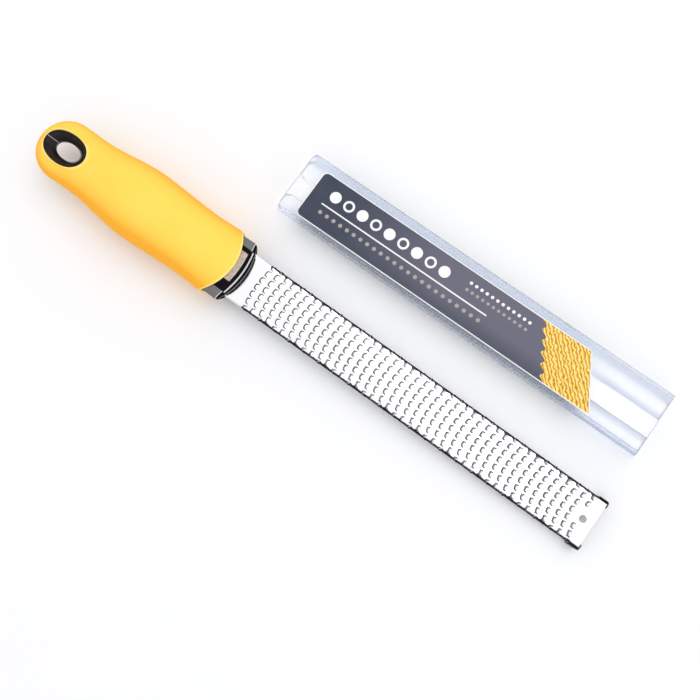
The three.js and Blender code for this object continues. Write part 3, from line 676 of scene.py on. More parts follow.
def blade_shell(blade, handle):
    """The toothed sheet, laid out flat and then folded. Lines along the rows, bowed as the rows are, and
    columns a quarter of the tooth pitch apart make cells; a tooth takes four columns of its row. With it
    goes how dark each point of its upper side is painted: a painted dark reflection along the folds and
    painted shade on the slits' edges."""
    quarter, side_columns = blade.tooth_pitch / 4, 15
    reach = blade.width / 2 - blade.bend + blade.bend * np.pi / 2 + blade.depth - blade.bend
    inner = np.arange(-side_columns, side_columns + 1)
    across = np.concatenate([[-reach], inner * quarter, [reach]])
    half_rows = np.arange(2 * blade.row_count + 1) - 1
    lines = blade.first_row - blade.tooth_depth / 2 + half_rows * blade.row_pitch / 2
    level = np.zeros(across.size)
    folded_y = fold(level, across, level, blade)[:, 1]
    rear = bowed_front(folded_y, 0.0, handle.collar_half, handle.collar_bow) - blade.seat
    x = np.concatenate([[rear], lines[:, None] + row_bow(across, blade), [level + blade.length]])
    ids = np.arange(x.size).reshape(x.shape)
    middle = across.size // 2

    # Each tooth with the border of its cells
    row, column = tooth_places(blade, side_columns)
    line_step = np.array([0, -1, -1, -1, -1, -1, 0, 1, 1, 1, 1, 1])
    column_step = np.array([2, 2, 1, 0, -1, -2, -2, -2, -1, 0, 1, 2])
    border = ids[2 + 2 * row[:, None] + line_step, middle + column[:, None] + column_step]
    shape = tooth_template(blade)
    tooth_across = (column * quarter)[:, None] + shape[:, 1]
    row_x = (blade.first_row + row * blade.row_pitch)[:, None]
    tooth_along = row_x + shape[:, 0] + row_bow(tooth_across, blade)
    tooth_above = np.broadcast_to(shape[:, 2], tooth_across.shape)
    tooth_ids = x.size + np.arange(tooth_across.size).reshape(tooth_across.shape)
    slits, tongues = tooth_faces(border, tooth_ids)

    # The patch round the tip hole takes the end of the last row and the end strip
    last = 2 * blade.row_count
    left, right = middle - 3, middle + 5
    patch = ids[last - 1 : last + 3, left : right + 1]
    loop = border_of(patch[:, ::-1].T)
    spin = np.radians(135) + 2 * np.pi * np.arange(loop.size) / loop.size
    hole_ids = x.size + tooth_ids.size + np.arange(loop.size)
    hole_along = blade.length - blade.hole_from_end + blade.hole / 2 * np.cos(spin)
    hole_across = blade.hole / 2 * np.sin(spin)

    kept = np.ones((x.shape[0] - 1, x.shape[1] - 1), dtype=bool)
    cells = middle + column[:, None] + np.arange(-2, 2)
    kept[1 + 2 * row[:, None], cells] = False
    kept[2 + 2 * row[:, None], cells] = False
    kept[last - 1 : last + 2, left:right] = False
    plain = grid_faces(ids)[kept.ravel()]
    quads = np.concatenate([plain, slits, ring_faces(loop, hole_ids)])

    flat_x = np.concatenate([x.ravel(), tooth_along.ravel(), hole_along])
    grid_across = np.broadcast_to(across, x.shape)
    flat_across = np.concatenate([grid_across.ravel(), tooth_across.ravel(), hole_across])
    above = np.concatenate([np.zeros(x.size), tooth_above.ravel(), np.zeros(loop.size)])
    order = np.arange(len(shape))
    slit_edge = (order < SLIT_POINTS) & ~np.isin(order, ROOT_POINTS)
    # Painted shade on the slits' edges, with the painted dark reflection along the folds
    cut = np.concatenate([np.zeros(x.size), np.tile(slit_edge, len(row)), np.zeros(loop.size)])
    painted_dark = np.maximum(cut, painted_dark_share(flat_x, flat_across, blade))
    flat, parts = trimmed(np.column_stack([flat_x, flat_across, above, painted_dark]), [quads, tongues])
    flat_x, flat_across, above, painted_dark = flat.T
    top = fold(flat_x, flat_across, above, blade)
    bottom = fold(flat_x, flat_across, above - blade.sheet, blade)
    return thickened(top, bottom, parts), painted_dark


def painted_dark_share(x, across, blade):
    """How dark the sheet is painted along its folds, as a painted dark reflection: fully over the bend and
    fading on both sides of it in steps of a quarter of the tooth pitch, and a little less behind the first
    row of teeth."""
    beside_bend, behind_teeth = 0.45, 0.75
    quarter = blade.tooth_pitch / 4
    run = np.abs(across) / quarter
    first = math.floor((blade.width / 2 - blade.bend) / quarter)
    over_bend = np.interp(run, first + np.arange(-1, 4), [0.0, beside_bend, 1.0, 1.0, 0.0])
    toothed = np.clip(2 * (x - blade.first_row) / blade.row_pitch + 0.5, 0.0, 1.0)
    return over_bend * (behind_teeth + (1 - behind_teeth) * toothed)


def tang_shell(blade, handle):
    """The flat tang: a strip from its rear end to just behind the wide sheet's bowed edge."""
    across = np.linspace(-0.5, 0.5, 13) * blade.tang_width
    joint = 0.05 * MM
    front = bowed_front(across, -blade.seat - joint, handle.collar_half, handle.collar_bow)
    share = np.array([0.0, 1.0])[:, None]
    x = -blade.tang_length + share * (front + blade.tang_length)
    y = np.broadcast_to(across, x.shape)
    top = np.stack([x, y, np.zeros(x.shape)], axis=-1).reshape(-1, 3)
    faces = grid_faces(np.arange(x.size).reshape(x.shape))
    return thickened(top, top - np.array([0.0, 0.0, blade.sheet]), [faces])


def tip_shell(node, blade):
    """An end tip: its CAD node with the doubles merged, and a share of its wall beyond the blade's side."""
    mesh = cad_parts[node].data
    points = np.empty(3 * len(mesh.vertices))
    mesh.vertices.foreach_get("co", points)
    corners = np.empty(len(mesh.loops), dtype=np.int64)
    mesh.loops.foreach_get("vertex_index", corners)
    points, merged = np.unique(points.reshape(-1, 3).round(7), axis=0, return_inverse=True)
    axis = tool_to_table(np.zeros(3))[1]
    aside = points[:, 1] - axis
    wall = np.maximum(np.abs(aside) - blade.width / 2, 0.0)
    points[:, 1] = axis + np.sign(aside) * (np.abs(aside) - (1 - blade.tip_wall) * wall)
    return points, [merged.reshape(-1)[corners].reshape(-1, 3)]


def joined(*shells):
    """Several shells as one set of points and faces."""
    starts = np.cumsum([0] + [len(points) for points, _ in shells])
    faces = [part + start for (_, parts), start in zip(shells, starts) for part in parts]
    return np.concatenate([points for points, _ in shells]), faces


def corner_arc(y, z, radius, first, last, steps):
    """Points on an arc about (y, z), from one angle in degrees to another."""
    angle = np.radians(np.linspace(first, last, steps))
    return np.stack([y + radius * np.cos(angle), z + radius * np.sin(angle)], axis=-1)


def cover_box(cover):
    """Low and high corners of the cover, which is narrower than its place on the +Y side."""
    low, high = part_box("blade_cover")
    high.y -= cover.trim
    return low, high


def cover_profile(half, height, cover, inset):
    """The cover's section drawn in by an inset: from the slot along the -Y lip, up the side, over the top
    and down to the other lip, with quarter circles at feet and shoulders."""
    foot, shoulder = cover.foot, cover.shoulder
    lip_steps, foot_steps, shoulder_steps, top_steps = 9, 9, 13, 17
    lip = np.linspace(cover.slot / 2, half - foot, lip_steps)[:-1]
    low = np.stack([-lip, np.full(lip.size, inset)], axis=-1)
    left_foot = corner_arc(foot - half, foot, foot - inset, 270, 180, foot_steps)
    left = corner_arc(shoulder - half, height - shoulder, shoulder - inset, 180, 90, shoulder_steps)
    one_side = np.concatenate([low, left_foot, left])
    top = np.linspace(shoulder - half, half - shoulder, top_steps)[1:-1]
    middle = np.stack([top, np.full(top.size, height - inset)], axis=-1)
    other = one_side[::-1] * np.array([-1.0, 1.0])
    return np.concatenate([one_side, middle, other])


def cover_end(profile, half, cover):
    """How far the rear end is cut back at each point of the section: by the oval corners outside, and on
    the lips by the round corner beside the slot."""
    beside = np.clip((np.abs(profile[:, 0]) - half + cover.end_corner) / cover.end_corner, 0.0, 1.0)
    outer = cover.end_depth * (1 - np.sqrt(1 - beside**2))
    from_slot = np.abs(profile[:, 0]) - cover.slot / 2
    inside = np.clip(1 - from_slot / cover.lip_corner, 0.0, 1.0)
    lip = cover.lip_corner * (1 - np.sqrt(1 - inside**2))
    return np.where(profile[:, 1] <= cover.wall, np.maximum(outer, lip), outer)


def cover_shell(cover):
    """The clear cover: its section carried along X from the rounded rear end to the square front end, both
    leaning out by an amount that falls off with height."""
    low, high = cover_box(cover)
    half, height = 0.5 * (high.y - low.y), high.z - low.z - 2 * SHEET_AIR
    outer = cover_profile(half, height, cover, 0.0)
    inner = cover_profile(half, height, cover, cover.wall)
    cut = cover_end(outer, half, cover)
    end_share, end_steps, body_steps = 0.05, 6, 20
    end, body = np.linspace(0.0, end_share, end_steps), np.linspace(end_share, 1.0, body_steps)
    share = np.concatenate([end, body[1:]])[:, None]
    lean = cover.end_lean * (1 - outer[:, 1] / height)
    rear = low.x + cut - lean
    x = rear + share * (high.x + lean - rear)
    shift = np.array([0.5 * (low.y + high.y), low.z + SHEET_AIR])
    sheets = [
        np.stack(np.broadcast_arrays(x, *(section + shift).T), axis=-1).reshape(-1, 3)
        for section in (outer, inner)
    ]
    faces = grid_faces(np.arange(x.size).reshape(x.shape))
    return thickened(*sheets, [faces])


def label_shell(cover):
    """The label: a strip from its end with round corners to its slanted end."""
    low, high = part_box("cover_label")
    half = 0.5 * (high.y - low.y)
    corner = cover.label_corner
    corner_steps, middle_steps, length_steps = 9, 9, 33
    side = half - corner + corner * np.sin(np.linspace(0.0, np.pi / 2, corner_steps))
    middle = np.linspace(corner - half, half - corner, middle_steps)
    across = np.concatenate([-side[::-1], middle[1:-1], side])
    beside = np.clip(np.abs(across) - half + corner, 0.0, corner)
    rear = low.x + corner - np.sqrt(corner**2 - beside**2)
    front = high.x - cover.label_slant * (across + half) / (2 * half)
    share = np.linspace(0.0, 1.0, length_steps)[:, None]
    x = rear + share * (front - rear)
    y = np.broadcast_to(across + low.y + half, x.shape)
    top = np.stack([x, y, np.full(x.shape, high.z)], axis=-1).reshape(-1, 3)
    faces = grid_faces(np.arange(x.size).reshape(x.shape))
    return thickened(top, top - np.array([0.0, 0.0, high.z - low.z]), [faces])


# Pieces


def laid(shell):
    """A shell of the zester's own frame, laid on the table."""
    points, faces = shell
    return tool_to_table(points), faces


def make_piece(name, shell, material, body, node):
    """A mesh piece at the origin that rides on a body and stands for a CAD node."""
    points, parts = shell
    mesh = bpy.data.meshes.new(name)
    mesh.from_pydata(points.tolist(), [], [face for part in parts for face in part.tolist()])
    if mesh.validate():
        raise RuntimeError(f"{name} has faulty faces")
    mesh.shade_smooth()
    mesh.set_sharp_from_angle(angle=SHARP)
    mesh.materials.append(material)
    piece = bpy.data.objects.new(name, mesh)
    bpy.context.scene.collection.objects.link(piece)
    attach(piece, body)
    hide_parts(node)
    return piece


def store_values(piece, name, values, domain="POINT"):
    """Keeps a number for each point or face of a piece, for its material to read."""
    layer = piece.data.attributes.new(name, "FLOAT", domain)
    layer.data.foreach_set("value", np.asarray(values, dtype=np.float32))


def round_edges(piece, width, segments=2, degrees=50.0):
    """Rounds a piece's edges that turn by more than some degrees, by a small width."""
    bevel = piece.modifiers.new("Edges", "BEVEL")
    bevel.width = width
    bevel.segments = segments
    bevel.limit_method = "ANGLE"
    bevel.angle_limit = math.radians(degrees)


# Materials


def feed(tree, node, inputs):
    """Sets a node's inputs to values, or links them to sockets."""
    for key, value in inputs.items():
        if isinstance(value, bpy.types.NodeSocket):
            tree.links.new(value, node.inputs[key])
        else:
            node.inputs[key].default_value = value


def add(tree, kind, inputs=None, **settings):
    """A node with its settings and inputs."""
    node = tree.nodes.new(kind)
    for key, value in settings.items():
        setattr(node, key, value)
    feed(tree, node, inputs or {})
    return node


def maths(tree, operation, *values):
    """The result of a Math node on values or sockets."""
    return add(tree, "ShaderNodeMath", dict(enumerate(values)), operation=operation).outputs[0]


def product(tree, *values):
    """The product of values or sockets."""
    return reduce(lambda first, second: maths(tree, "MULTIPLY", first, second), values)


def either(tree, *masks):
    """The greatest of several masks."""
    return reduce(lambda first, second: maths(tree, "MAXIMUM", first, second), masks)


def hypotenuse(tree, first, second):
    """The root of the sum of two squares."""
    squares = [maths(tree, "POWER", side, 2.0) for side in (first, second)]
    return maths(tree, "SQRT", maths(tree, "ADD", *squares))


def ramp(tree, value, start, end, low=0.0, high=1.0):
    """A value carried from the range between start and end to that between low and high, and kept there."""
    inputs = {"Value": value, "From Min": start, "From Max": end, "To Min": low, "To Max": high}
    return add(tree, "ShaderNodeMapRange", inputs).outputs["Result"]


def noise(tree, where, scale, detail):
    """Noise of a scale and a detail at a place."""
    inputs = {"Vector": where, "Scale": scale, "Detail": detail}
    return add(tree, "ShaderNodeTexNoise", inputs).outputs["Fac"]


def bumps(tree, height, strength, depth):
    """A normal for a surface with fine bumps of a height."""
    inputs = {"Height": height, "Strength": strength, "Distance": depth}
    return add(tree, "ShaderNodeBump", inputs).outputs[0]


def axes_of(tree, vector):
    """X, Y and Z of a vector."""
    return add(tree, "ShaderNodeSeparateXYZ", {0: vector}).outputs


def value_of(tree, name):
    """A number that is kept on a piece's points or faces."""
    return add(tree, "ShaderNodeAttribute", attribute_name=name).outputs["Fac"]


def effect(tree, group, where, **values):
    """The outputs of a node group placed in a material with its own values."""
    return add(tree, "ShaderNodeGroup", {"Vector": where, **values}, node_tree=group).outputs


def mix(tree, share, first, second):
    """A colour between two, by a share."""
    first, second = (
        tint if isinstance(tint, bpy.types.NodeSocket) else (*tint, 1.0) for tint in (first, second)
    )
    # The colour sockets of the node come after those for numbers and vectors
    return add(tree, "ShaderNodeMix", {0: share, 6: first, 7: second}, data_type="RGBA").outputs[2]


def new_group(name, inputs, outputs):
    """An empty shader node group with named float or vector inputs and float outputs."""
    group = bpy.data.node_groups.new(name, "ShaderNodeTree")
    for label, default in inputs.items():
        kind = "NodeSocketVector" if default is None else "NodeSocketFloat"
        socket = group.interface.new_socket(label, in_out="INPUT", socket_type=kind)
        if default is not None:
            socket.default_value = default
    for label in outputs:
        group.interface.new_socket(label, in_out="OUTPUT", socket_type="NodeSocketFloat")
    return group, group.nodes.new("NodeGroupInput").outputs, group.nodes.new("NodeGroupOutput").inputs


def fine_grain_group():
    """Grain of moulded and printed surfaces: fine noise for height, and wide clouds as a mask."""
    name = "Fine grain"
    if name in bpy.data.node_groups:
        return bpy.data.node_groups[name]
    inputs = {"Vector": None, "Grain": 4000.0, "Clouds": 60.0}
    group, given, result = new_group(name, inputs, ["Height", "Mask"])
    fine = noise(group, given["Vector"], given["Grain"], 2.0)
    wide = noise(group, given["Vector"], given["Clouds"], 4.0)
    group.links.new(fine, result["Height"])
    group.links.new(ramp(group, wide, *NOISE_SPREAD), result["Mask"])
    return group


def wiped_group():
    """Polish left by wiping: a roughness that varies in soft streaks between a low and a high value."""
    name = "Wiped polish"
    if name in bpy.data.node_groups:
        return bpy.data.node_groups[name]
    inputs = {"Vector": None, "Low": 0.02, "High": 0.06}
    group, given, result = new_group(name, inputs, ["Roughness"])
    streaks = {0: given["Vector"], 1: (40.0, 160.0, 160.0)}
    stretched = add(group, "ShaderNodeVectorMath", streaks, operation="MULTIPLY").outputs[0]
    smear = noise(group, stretched, 1.0, 3.0)
    rough = ramp(group, smear, *NOISE_SPREAD, given["Low"], given["High"])
    group.links.new(rough, result["Roughness"])
    return group


def spots_group():
    """A row of round spots along X: the distance to the nearest centre of the row, compared with a radius,
    kept between the row's start and end, with every second spot hollow by a share of its radius."""
    name = "Row of spots"
    if name in bpy.data.node_groups:
        return bpy.data.node_groups[name]
    row = {"Start": 0.0, "End": 1.0, "Pitch": 1.0, "Height": 0.0, "Radius": 0.3, "Hollow": 0.0}
    group, given, result = new_group(name, {"Vector": None, **row}, ["Mask"])
    axes = axes_of(group, given["Vector"])
    count = maths(group, "DIVIDE", maths(group, "SUBTRACT", axes["X"], given["Start"]), given["Pitch"])
    beside = product(group, maths(group, "SUBTRACT", maths(group, "FRACT", count), 0.5), given["Pitch"])
    above = maths(group, "SUBTRACT", axes["Y"], given["Height"])
    distance = hypotenuse(group, beside, above)
    soft = 0.08
    disc = ramp(group, maths(group, "SUBTRACT", distance, given["Radius"]), soft, -soft)
    second = maths(group, "MODULO", maths(group, "FLOOR", count), 2.0)
    bore = product(group, given["Radius"], given["Hollow"], second)
    rim = ramp(group, maths(group, "SUBTRACT", distance, bore), -soft, soft)
    after = maths(group, "GREATER_THAN", axes["X"], given["Start"])
    before = maths(group, "LESS_THAN", axes["X"], given["End"])
    group.links.new(product(group, disc, rim, after, before), result["Mask"])
    return group


def new_material(name):
    """A material with an output and a Principled shader, and the place on the object."""
    material = bpy.data.materials.new(name)
    material.use_nodes = True
    tree = material.node_tree
    tree.nodes.clear()
    shader = add(tree, "ShaderNodeBsdfPrincipled")
    output = add(tree, "ShaderNodeOutputMaterial", {"Surface": shader.outputs[0]})
    where = add(tree, "ShaderNodeTexCoord").outputs["Object"]
    return material, tree, output, shader, where


def let_light_past(tree, output, shader, tint):
    """Shadow rays pass a clear piece straight through with a tint, so that its shadow stays light."""
    past = add(tree, "ShaderNodeBsdfTransparent", {"Color": (*tint, 1.0)})
    rays = add(tree, "ShaderNodeLightPath")
    inputs = {0: rays.outputs["Is Shadow Ray"], 1: shader.outputs[0], 2: past.outputs[0]}
    choice = add(tree, "ShaderNodeMixShader", inputs)
    tree.links.new(choice.outputs[0], output.inputs["Surface"])


def tool_axes(tree, where):
    """X, Y and Z of a place, from the point midway between the collar's front corners."""
    corner = Vector(tool_to_table(np.zeros(3)))
    shift = add(tree, "ShaderNodeVectorMath", {0: where, 1: corner}, operation="SUBTRACT")
    return axes_of(tree, shift.outputs[0])


def grip_material():
    """Soft-touch yellow rubber: matte, faintly clouded, with a fine grain, deeper on its flanks by painted
    shade and paler along its edges by a painted highlight."""
    finish = bpy.context.scene.zester_finish
    material, tree, _, shader, where = new_material("soft_grip")
    grain = effect(tree, fine_grain_group(), where)
    top = mix(tree, grain["Mask"], finish.grip, finish.grip_shade)
    full_flank_shade, edge_highlight_from, edge_highlight_to = 0.27, 0.15, 0.75
    # Painted shade on the flanks
    flank_shade = ramp(tree, value_of(tree, "flank_shade"), 0.0, full_flank_shade)
    # Painted highlight along the edges
    edges = ramp(tree, value_of(tree, "edge_highlight"), edge_highlight_from, edge_highlight_to)
    tint = mix(tree, flank_shade, top, finish.grip_flank_shade)
    look = {
        "Base Color": mix(tree, edges, tint, finish.grip_edge_highlight),
        "Normal": bumps(tree, grain["Height"], 0.25, 0.06 * MM),
        "Roughness": 0.66,
        "Specular IOR Level": 0.18,
        "Sheen Weight": 0.08,
        "Sheen Roughness": 0.45,
        "Sheen Tint": (*finish.grip_sheen, 1.0),
    }
    feed(tree, shader, look)
    return material


def smoke_material():
    """Polished smoke plastic: black where it is thick, grey in the collar's cheeks, with the steel of the
    tang in view beside the grip's edge on top. Painted highlights make pale lines along the top front
    edge, along the cheeks' front and where the front face meets the sheet, and painted shade keeps the
    cheeks black along their front edge."""
    scene = bpy.context.scene
    finish, handle, blade = scene.zester_finish, scene.zester_handle, scene.zester_blade
    material, tree, _, shader, where = new_material("smoke_plastic")
    axes = tool_axes(tree, where)
    behind = value_of(tree, "behind")
    upper = maths(tree, "GREATER_THAN", axes["Z"], 0.0)

    soft = 0.1 * MM
    aside = maths(tree, "ABSOLUTE", axes["Y"])
    thin = ramp(tree, aside, handle.cheek_from - soft, handle.cheek_from + soft)
    # Painted shade: black along the cheeks' front edge
    cheek = product(tree, thin, maths(tree, "GREATER_THAN", behind, handle.cheek_front_shade))
    tint = mix(tree, cheek, finish.smoke, finish.smoke_thin)

    over_tang = maths(tree, "COMPARE", axes["Y"], handle.tang_aside, blade.tang_width / 2)
    seen = product(tree, over_tang, upper, maths(tree, "GREATER_THAN", behind, handle.tang_shows))
    clouds = effect(tree, fine_grain_group(), where, Clouds=700.0)["Mask"]
    tint = mix(tree, seen, tint, mix(tree, clouds, finish.tang, finish.tang_shade))

    # Painted highlights as pale lines along the top front edge and along the cheeks' front
    half_line = (handle.rim_highlight_to - handle.rim_highlight_from) / 2
    rim_highlight = maths(tree, "COMPARE", behind, handle.rim_highlight_from + half_line, half_line)
    rim_highlight = product(tree, rim_highlight, upper, maths(tree, "SUBTRACT", 1.0, thin))
    cheek_highlight = maths(tree, "COMPARE", behind, handle.cheek_front_shade, half_line)
    cheek_highlight = product(tree, cheek_highlight, upper, thin)
    tint = mix(tree, either(tree, rim_highlight, cheek_highlight), tint, finish.rim_highlight)

    # Painted highlight as a faint pale line where the front face meets the sheet
    seat_highlight = maths(tree, "COMPARE", axes["Z"], handle.seat_highlight / 2, handle.seat_highlight / 2)
    on_front = maths(tree, "LESS_THAN", behind, handle.rim_highlight_from)
    seat_highlight_strength = 0.3
    look = {
        "Base Color": mix(tree, product(tree, seat_highlight, on_front, seat_highlight_strength), tint, finish.rim_highlight),
        "Roughness": effect(tree, wiped_group(), where, Low=0.06, High=0.14)["Roughness"],
        "IOR": 1.5,
        "Specular IOR Level": 0.0,
    }
    feed(tree, shader, look)
    return material


def liner_material():
    """The same plastic where it is thick: black and glossy, with brownish clouds painted as reflections,
    and pale painted highlights round the waist and as a streak on the butt's side."""
    scene = bpy.context.scene
    finish, handle = scene.zester_finish, scene.zester_handle
    material, tree, _, shader, where = new_material("smoke_liner")
    axes = tool_axes(tree, where)
    # Painted reflection: brownish clouds
    clouds = effect(tree, fine_grain_group(), where, Clouds=210.0)["Mask"]
    tint = mix(tree, clouds, finish.smoke, finish.smoke_reflection)
    # Painted highlights round the waist and as a streak on the butt's side
    waist_highlight_from, waist_highlight_to = 0.3, 0.7
    waist = ramp(tree, value_of(tree, "ridge"), waist_highlight_from, waist_highlight_to)
    highlight_streak = maths(tree, "COMPARE", axes["Y"], handle.highlight_streak_at, handle.highlight_streak / 2)
    behind = maths(tree, "LESS_THAN", axes["X"], handle.eyelet_from_butt - handle.length)
    highlights = either(tree, waist, product(tree, highlight_streak, behind))
    look = {
        "Base Color": mix(tree, highlights, tint, finish.smoke_highlight),
        "Roughness": effect(tree, wiped_group(), where, Low=0.08, High=0.16)["Roughness"],
        "IOR": 1.5,
        "Specular IOR Level": 0.08,
    }
    feed(tree, shader, look)
    return material


def steel_material():
    """Bright rolled steel with a faint grain along the blade, painted dark as a reflection along the folds
    and as shade on the edges and walls of the slits."""
    finish = bpy.context.scene.zester_finish
    material, tree, _, shader, where = new_material("etched_steel")
    rolled = add(tree, "ShaderNodeMapping", {"Vector": where, "Scale": (150.0, 6000.0, 6000.0)})
    lines = noise(tree, rolled.outputs[0], 1.0, 2.0)
    # Painted dark reflection along the folds and painted shade on the slits' edges and walls
    dark_from, dark_to = 0.74, 0.88
    edges = ramp(tree, value_of(tree, "painted_dark"), dark_from, dark_to)
    dark = either(tree, edges, value_of(tree, "cut_wall"))
    look = {
        "Base Color": mix(tree, dark, finish.steel, finish.painted_dark),
        "Roughness": effect(tree, wiped_group(), where, Low=0.07, High=0.13)["Roughness"],
        "Normal": bumps(tree, lines, 0.08, 0.02 * MM),
        "Metallic": 1.0,
    }
    feed(tree, shader, look)
    return material


def tip_material():
    """Black satin plastic."""
    finish = bpy.context.scene.zester_finish
    material, tree, _, shader, where = new_material("tip_plastic")
    grain = effect(tree, fine_grain_group(), where, Grain=5000.0)
    look = {
        "Base Color": (*finish.tip, 1.0),
        "Normal": bumps(tree, grain["Height"], 0.15, 0.03 * MM),
        "Roughness": 0.5,
    }
    feed(tree, shader, look)
    return material


def clear_material():
    """Clear polished plastic with a trace of blue, deeper in the lips and the side walls, the -Y wall
    darker than the +Y wall by painted shade.
    """
    scene = bpy.context.scene
    finish, cover = scene.zester_finish, scene.zester_cover
    material, tree, output, shader, where = new_material("clear_plastic")
    low, high = cover_box(cover)
    half, middle = 0.5 * (high.y - low.y), 0.5 * (low.y + high.y)
    label_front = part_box("cover_label")[1].x
    axes = axes_of(tree, where)
    aside = maths(tree, "ABSOLUTE", maths(tree, "SUBTRACT", axes["Y"], middle))
    bare = ramp(tree, axes["X"], label_front - cover.label_slant, label_front)

    # The margins are polished more than the rest
    soft, least_rough = 0.2 * MM, 0.05
    outer = ramp(tree, aside, half - cover.margin - soft, half - cover.margin + soft)
    wiped = effect(tree, wiped_group(), where, Low=0.01, High=0.04)["Roughness"]
    rough = product(tree, maths(tree, "SUBTRACT", 1 + least_rough, outer), wiped)

    beside_slot = ramp(tree, aside, cover.slot / 2 + cover.lip_band, cover.slot / 2)
    above_lips = 0.2
    low_down = maths(tree, "LESS_THAN", axes["Z"], low.z + (1 + above_lips) * cover.wall)
    tint = mix(tree, product(tree, beside_slot, low_down, bare), finish.clear, finish.clear_lip)
    tint = mix(tree, outer, tint, finish.clear_margin)

    # A side wall starts a little inside its own thickness and stops short of the top and the bottom
    inside_wall, upright_share = 0.6, 0.92
    at_side = maths(tree, "GREATER_THAN", aside, half - (1 + inside_wall) * cover.wall)
    half_upright = upright_share * 0.5 * (high.z - low.z)
    upright = maths(tree, "COMPARE", axes["Z"], 0.5 * (low.z + high.z), half_upright)
    # Painted shade: the -Y wall is tinted darker than the +Y wall
    near = maths(tree, "LESS_THAN", axes["Y"], middle)
    wall = mix(tree, near, finish.clear_wall, finish.clear_shaded_wall)
    wall = mix(tree, bare, finish.clear_side, wall)
    look = {
        "Base Color": mix(tree, product(tree, at_side, upright), tint, wall),
        "Roughness": rough,
        "IOR": 1.12,
        "Transmission Weight": 1.0,
    }
    feed(tree, shader, look)
    let_light_past(tree, output, shader, finish.clear_shadow)
    return material


def cut_material():
    """The same plastic where it is sawn off: frosted and pale."""
    finish = bpy.context.scene.zester_finish
    material, tree, _, shader, where = new_material("clear_cut")
    grain = effect(tree, fine_grain_group(), where, Clouds=400.0)
    look = {
        "Base Color": mix(tree, grain["Mask"], finish.clear_cut, finish.clear),
        "Normal": bumps(tree, grain["Height"], 0.2, 0.04 * MM),
        "Roughness": 0.35,
    }
    feed(tree, shader, look)
    return material


def label_material():
    """Printed film: a clouded charcoal ground with rows of spots and a rule, and a golden end with wavy
    stripes behind a scalloped edge that runs along the slanted cut."""
    scene = bpy.context.scene
    finish, cover = scene.zester_finish, scene.zester_cover
    low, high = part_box("cover_label")
    half = 0.5 * (high.y - low.y)
    material, tree, _, shader, where = new_material("label_film")
    clouds = effect(tree, fine_grain_group(), where, Clouds=180.0)["Mask"]
    ground = mix(tree, clouds, finish.label, finish.label_cloud)

    # From here on in millimetres from the label's rear end and from its centre line
    shift = (-low.x / MM, -(low.y + half) / MM, 0.0)
    sheet = add(tree, "ShaderNodeMapping", {"Vector": where, "Location": shift, "Scale": (1 / MM,) * 3})
    flat = sheet.outputs[0]
    axes = axes_of(tree, flat)
    # Painted light on the ground, towards the label's front and its +Y side
    lit_along, lit_across = (20.0, 75.0), (-16.0, -4.0)
    paled = product(tree, ramp(tree, axes["X"], *lit_along), ramp(tree, axes["Y"], *lit_across))
    ground = mix(tree, paled, ground, finish.label_lit)

    def spots(**values):
        return effect(tree, spots_group(), flat, **values)["Mask"]

    beads = spots(Start=8.0, End=80.0, Pitch=8.0, Height=4.6, Radius=2.9, Hollow=0.62)
    pips = spots(Start=8.0, End=104.0, Pitch=4.0, Height=-5.6, Radius=1.0)
    dots = spots(Start=88.0, End=124.0, Pitch=3.0, Height=7.4, Radius=0.8)
    dust = spots(Start=88.0, End=124.0, Pitch=3.0, Height=3.6, Radius=0.8)
    rule_middle, rule_half_length = 56.0, 48.0
    rule_height, rule_half_width = -1.6, 0.35
    along_rule = maths(tree, "COMPARE", axes["X"], rule_middle, rule_half_length)
    across_rule = maths(tree, "COMPARE", axes["Y"], rule_height, rule_half_width)
    rule = product(tree, along_rule, across_rule)
    art = mix(tree, either(tree, beads, rule, dots), ground, finish.label_white)
    art = mix(tree, either(tree, pips, dust), art, finish.label_grey)

    # Distance to the slanted cut, and the golden end within it
    golden_length, scallop_turn, scallop_depth = 26.0, 1.33, 1.1
    slope = cover.label_slant / (2 * half)
    end = (high.x - low.x - cover.label_slant / 2) / MM
    from_cut = maths(tree, "SUBTRACT", end, maths(tree, "MULTIPLY_ADD", axes["Y"], slope, axes["X"]))
    scallops = maths(tree, "SINE", product(tree, axes["Y"], scallop_turn))
    golden = maths(tree, "MULTIPLY_ADD", scallops, scallop_depth, from_cut)
    golden = maths(tree, "LESS_THAN", golden, golden_length)
    wavy = {"Vector": flat, "Scale": 0.27, "Distortion": 6.5, "Detail": 3.0, "Detail Scale": 1.6}
    waves = add(tree, "ShaderNodeTexWave", wavy, bands_direction="DIAGONAL").outputs["Fac"]
    deep, pale = (0.28, 0.18), (0.72, 0.85)
    stripes = mix(tree, ramp(tree, waves, *deep), finish.label_gold, finish.label_orange)
    stripes = mix(tree, ramp(tree, waves, *pale), stripes, finish.label_pale)
    art = mix(tree, golden, art, stripes)

    # White cut edge: the distance inwards from the sides and the round corners, and from the slanted cut
    corner, rim = cover.label_corner / MM, cover.label_edge / MM
    to_end = maths(tree, "MAXIMUM", maths(tree, "SUBTRACT", corner, axes["X"]), 0.0)
    to_side = maths(tree, "ADD", maths(tree, "ABSOLUTE", axes["Y"]), corner - half / MM)
    outwards = hypotenuse(tree, to_end, maths(tree, "MAXIMUM", to_side, 0.0))
    edge = maths(tree, "GREATER_THAN", outwards, corner - rim)
    edge = either(tree, edge, maths(tree, "LESS_THAN", from_cut, rim))
    art = mix(tree, edge, art, finish.label_white)
    hair = 0.05
    back = maths(tree, "LESS_THAN", axes["Z"], low.z / MM + hair)
    look = {
        "Base Color": mix(tree, back, art, finish.label_back),
        "Roughness": 0.45,
        "Specular IOR Level": 0.25,
    }
    feed(tree, shader, look)
    return material


# Operators


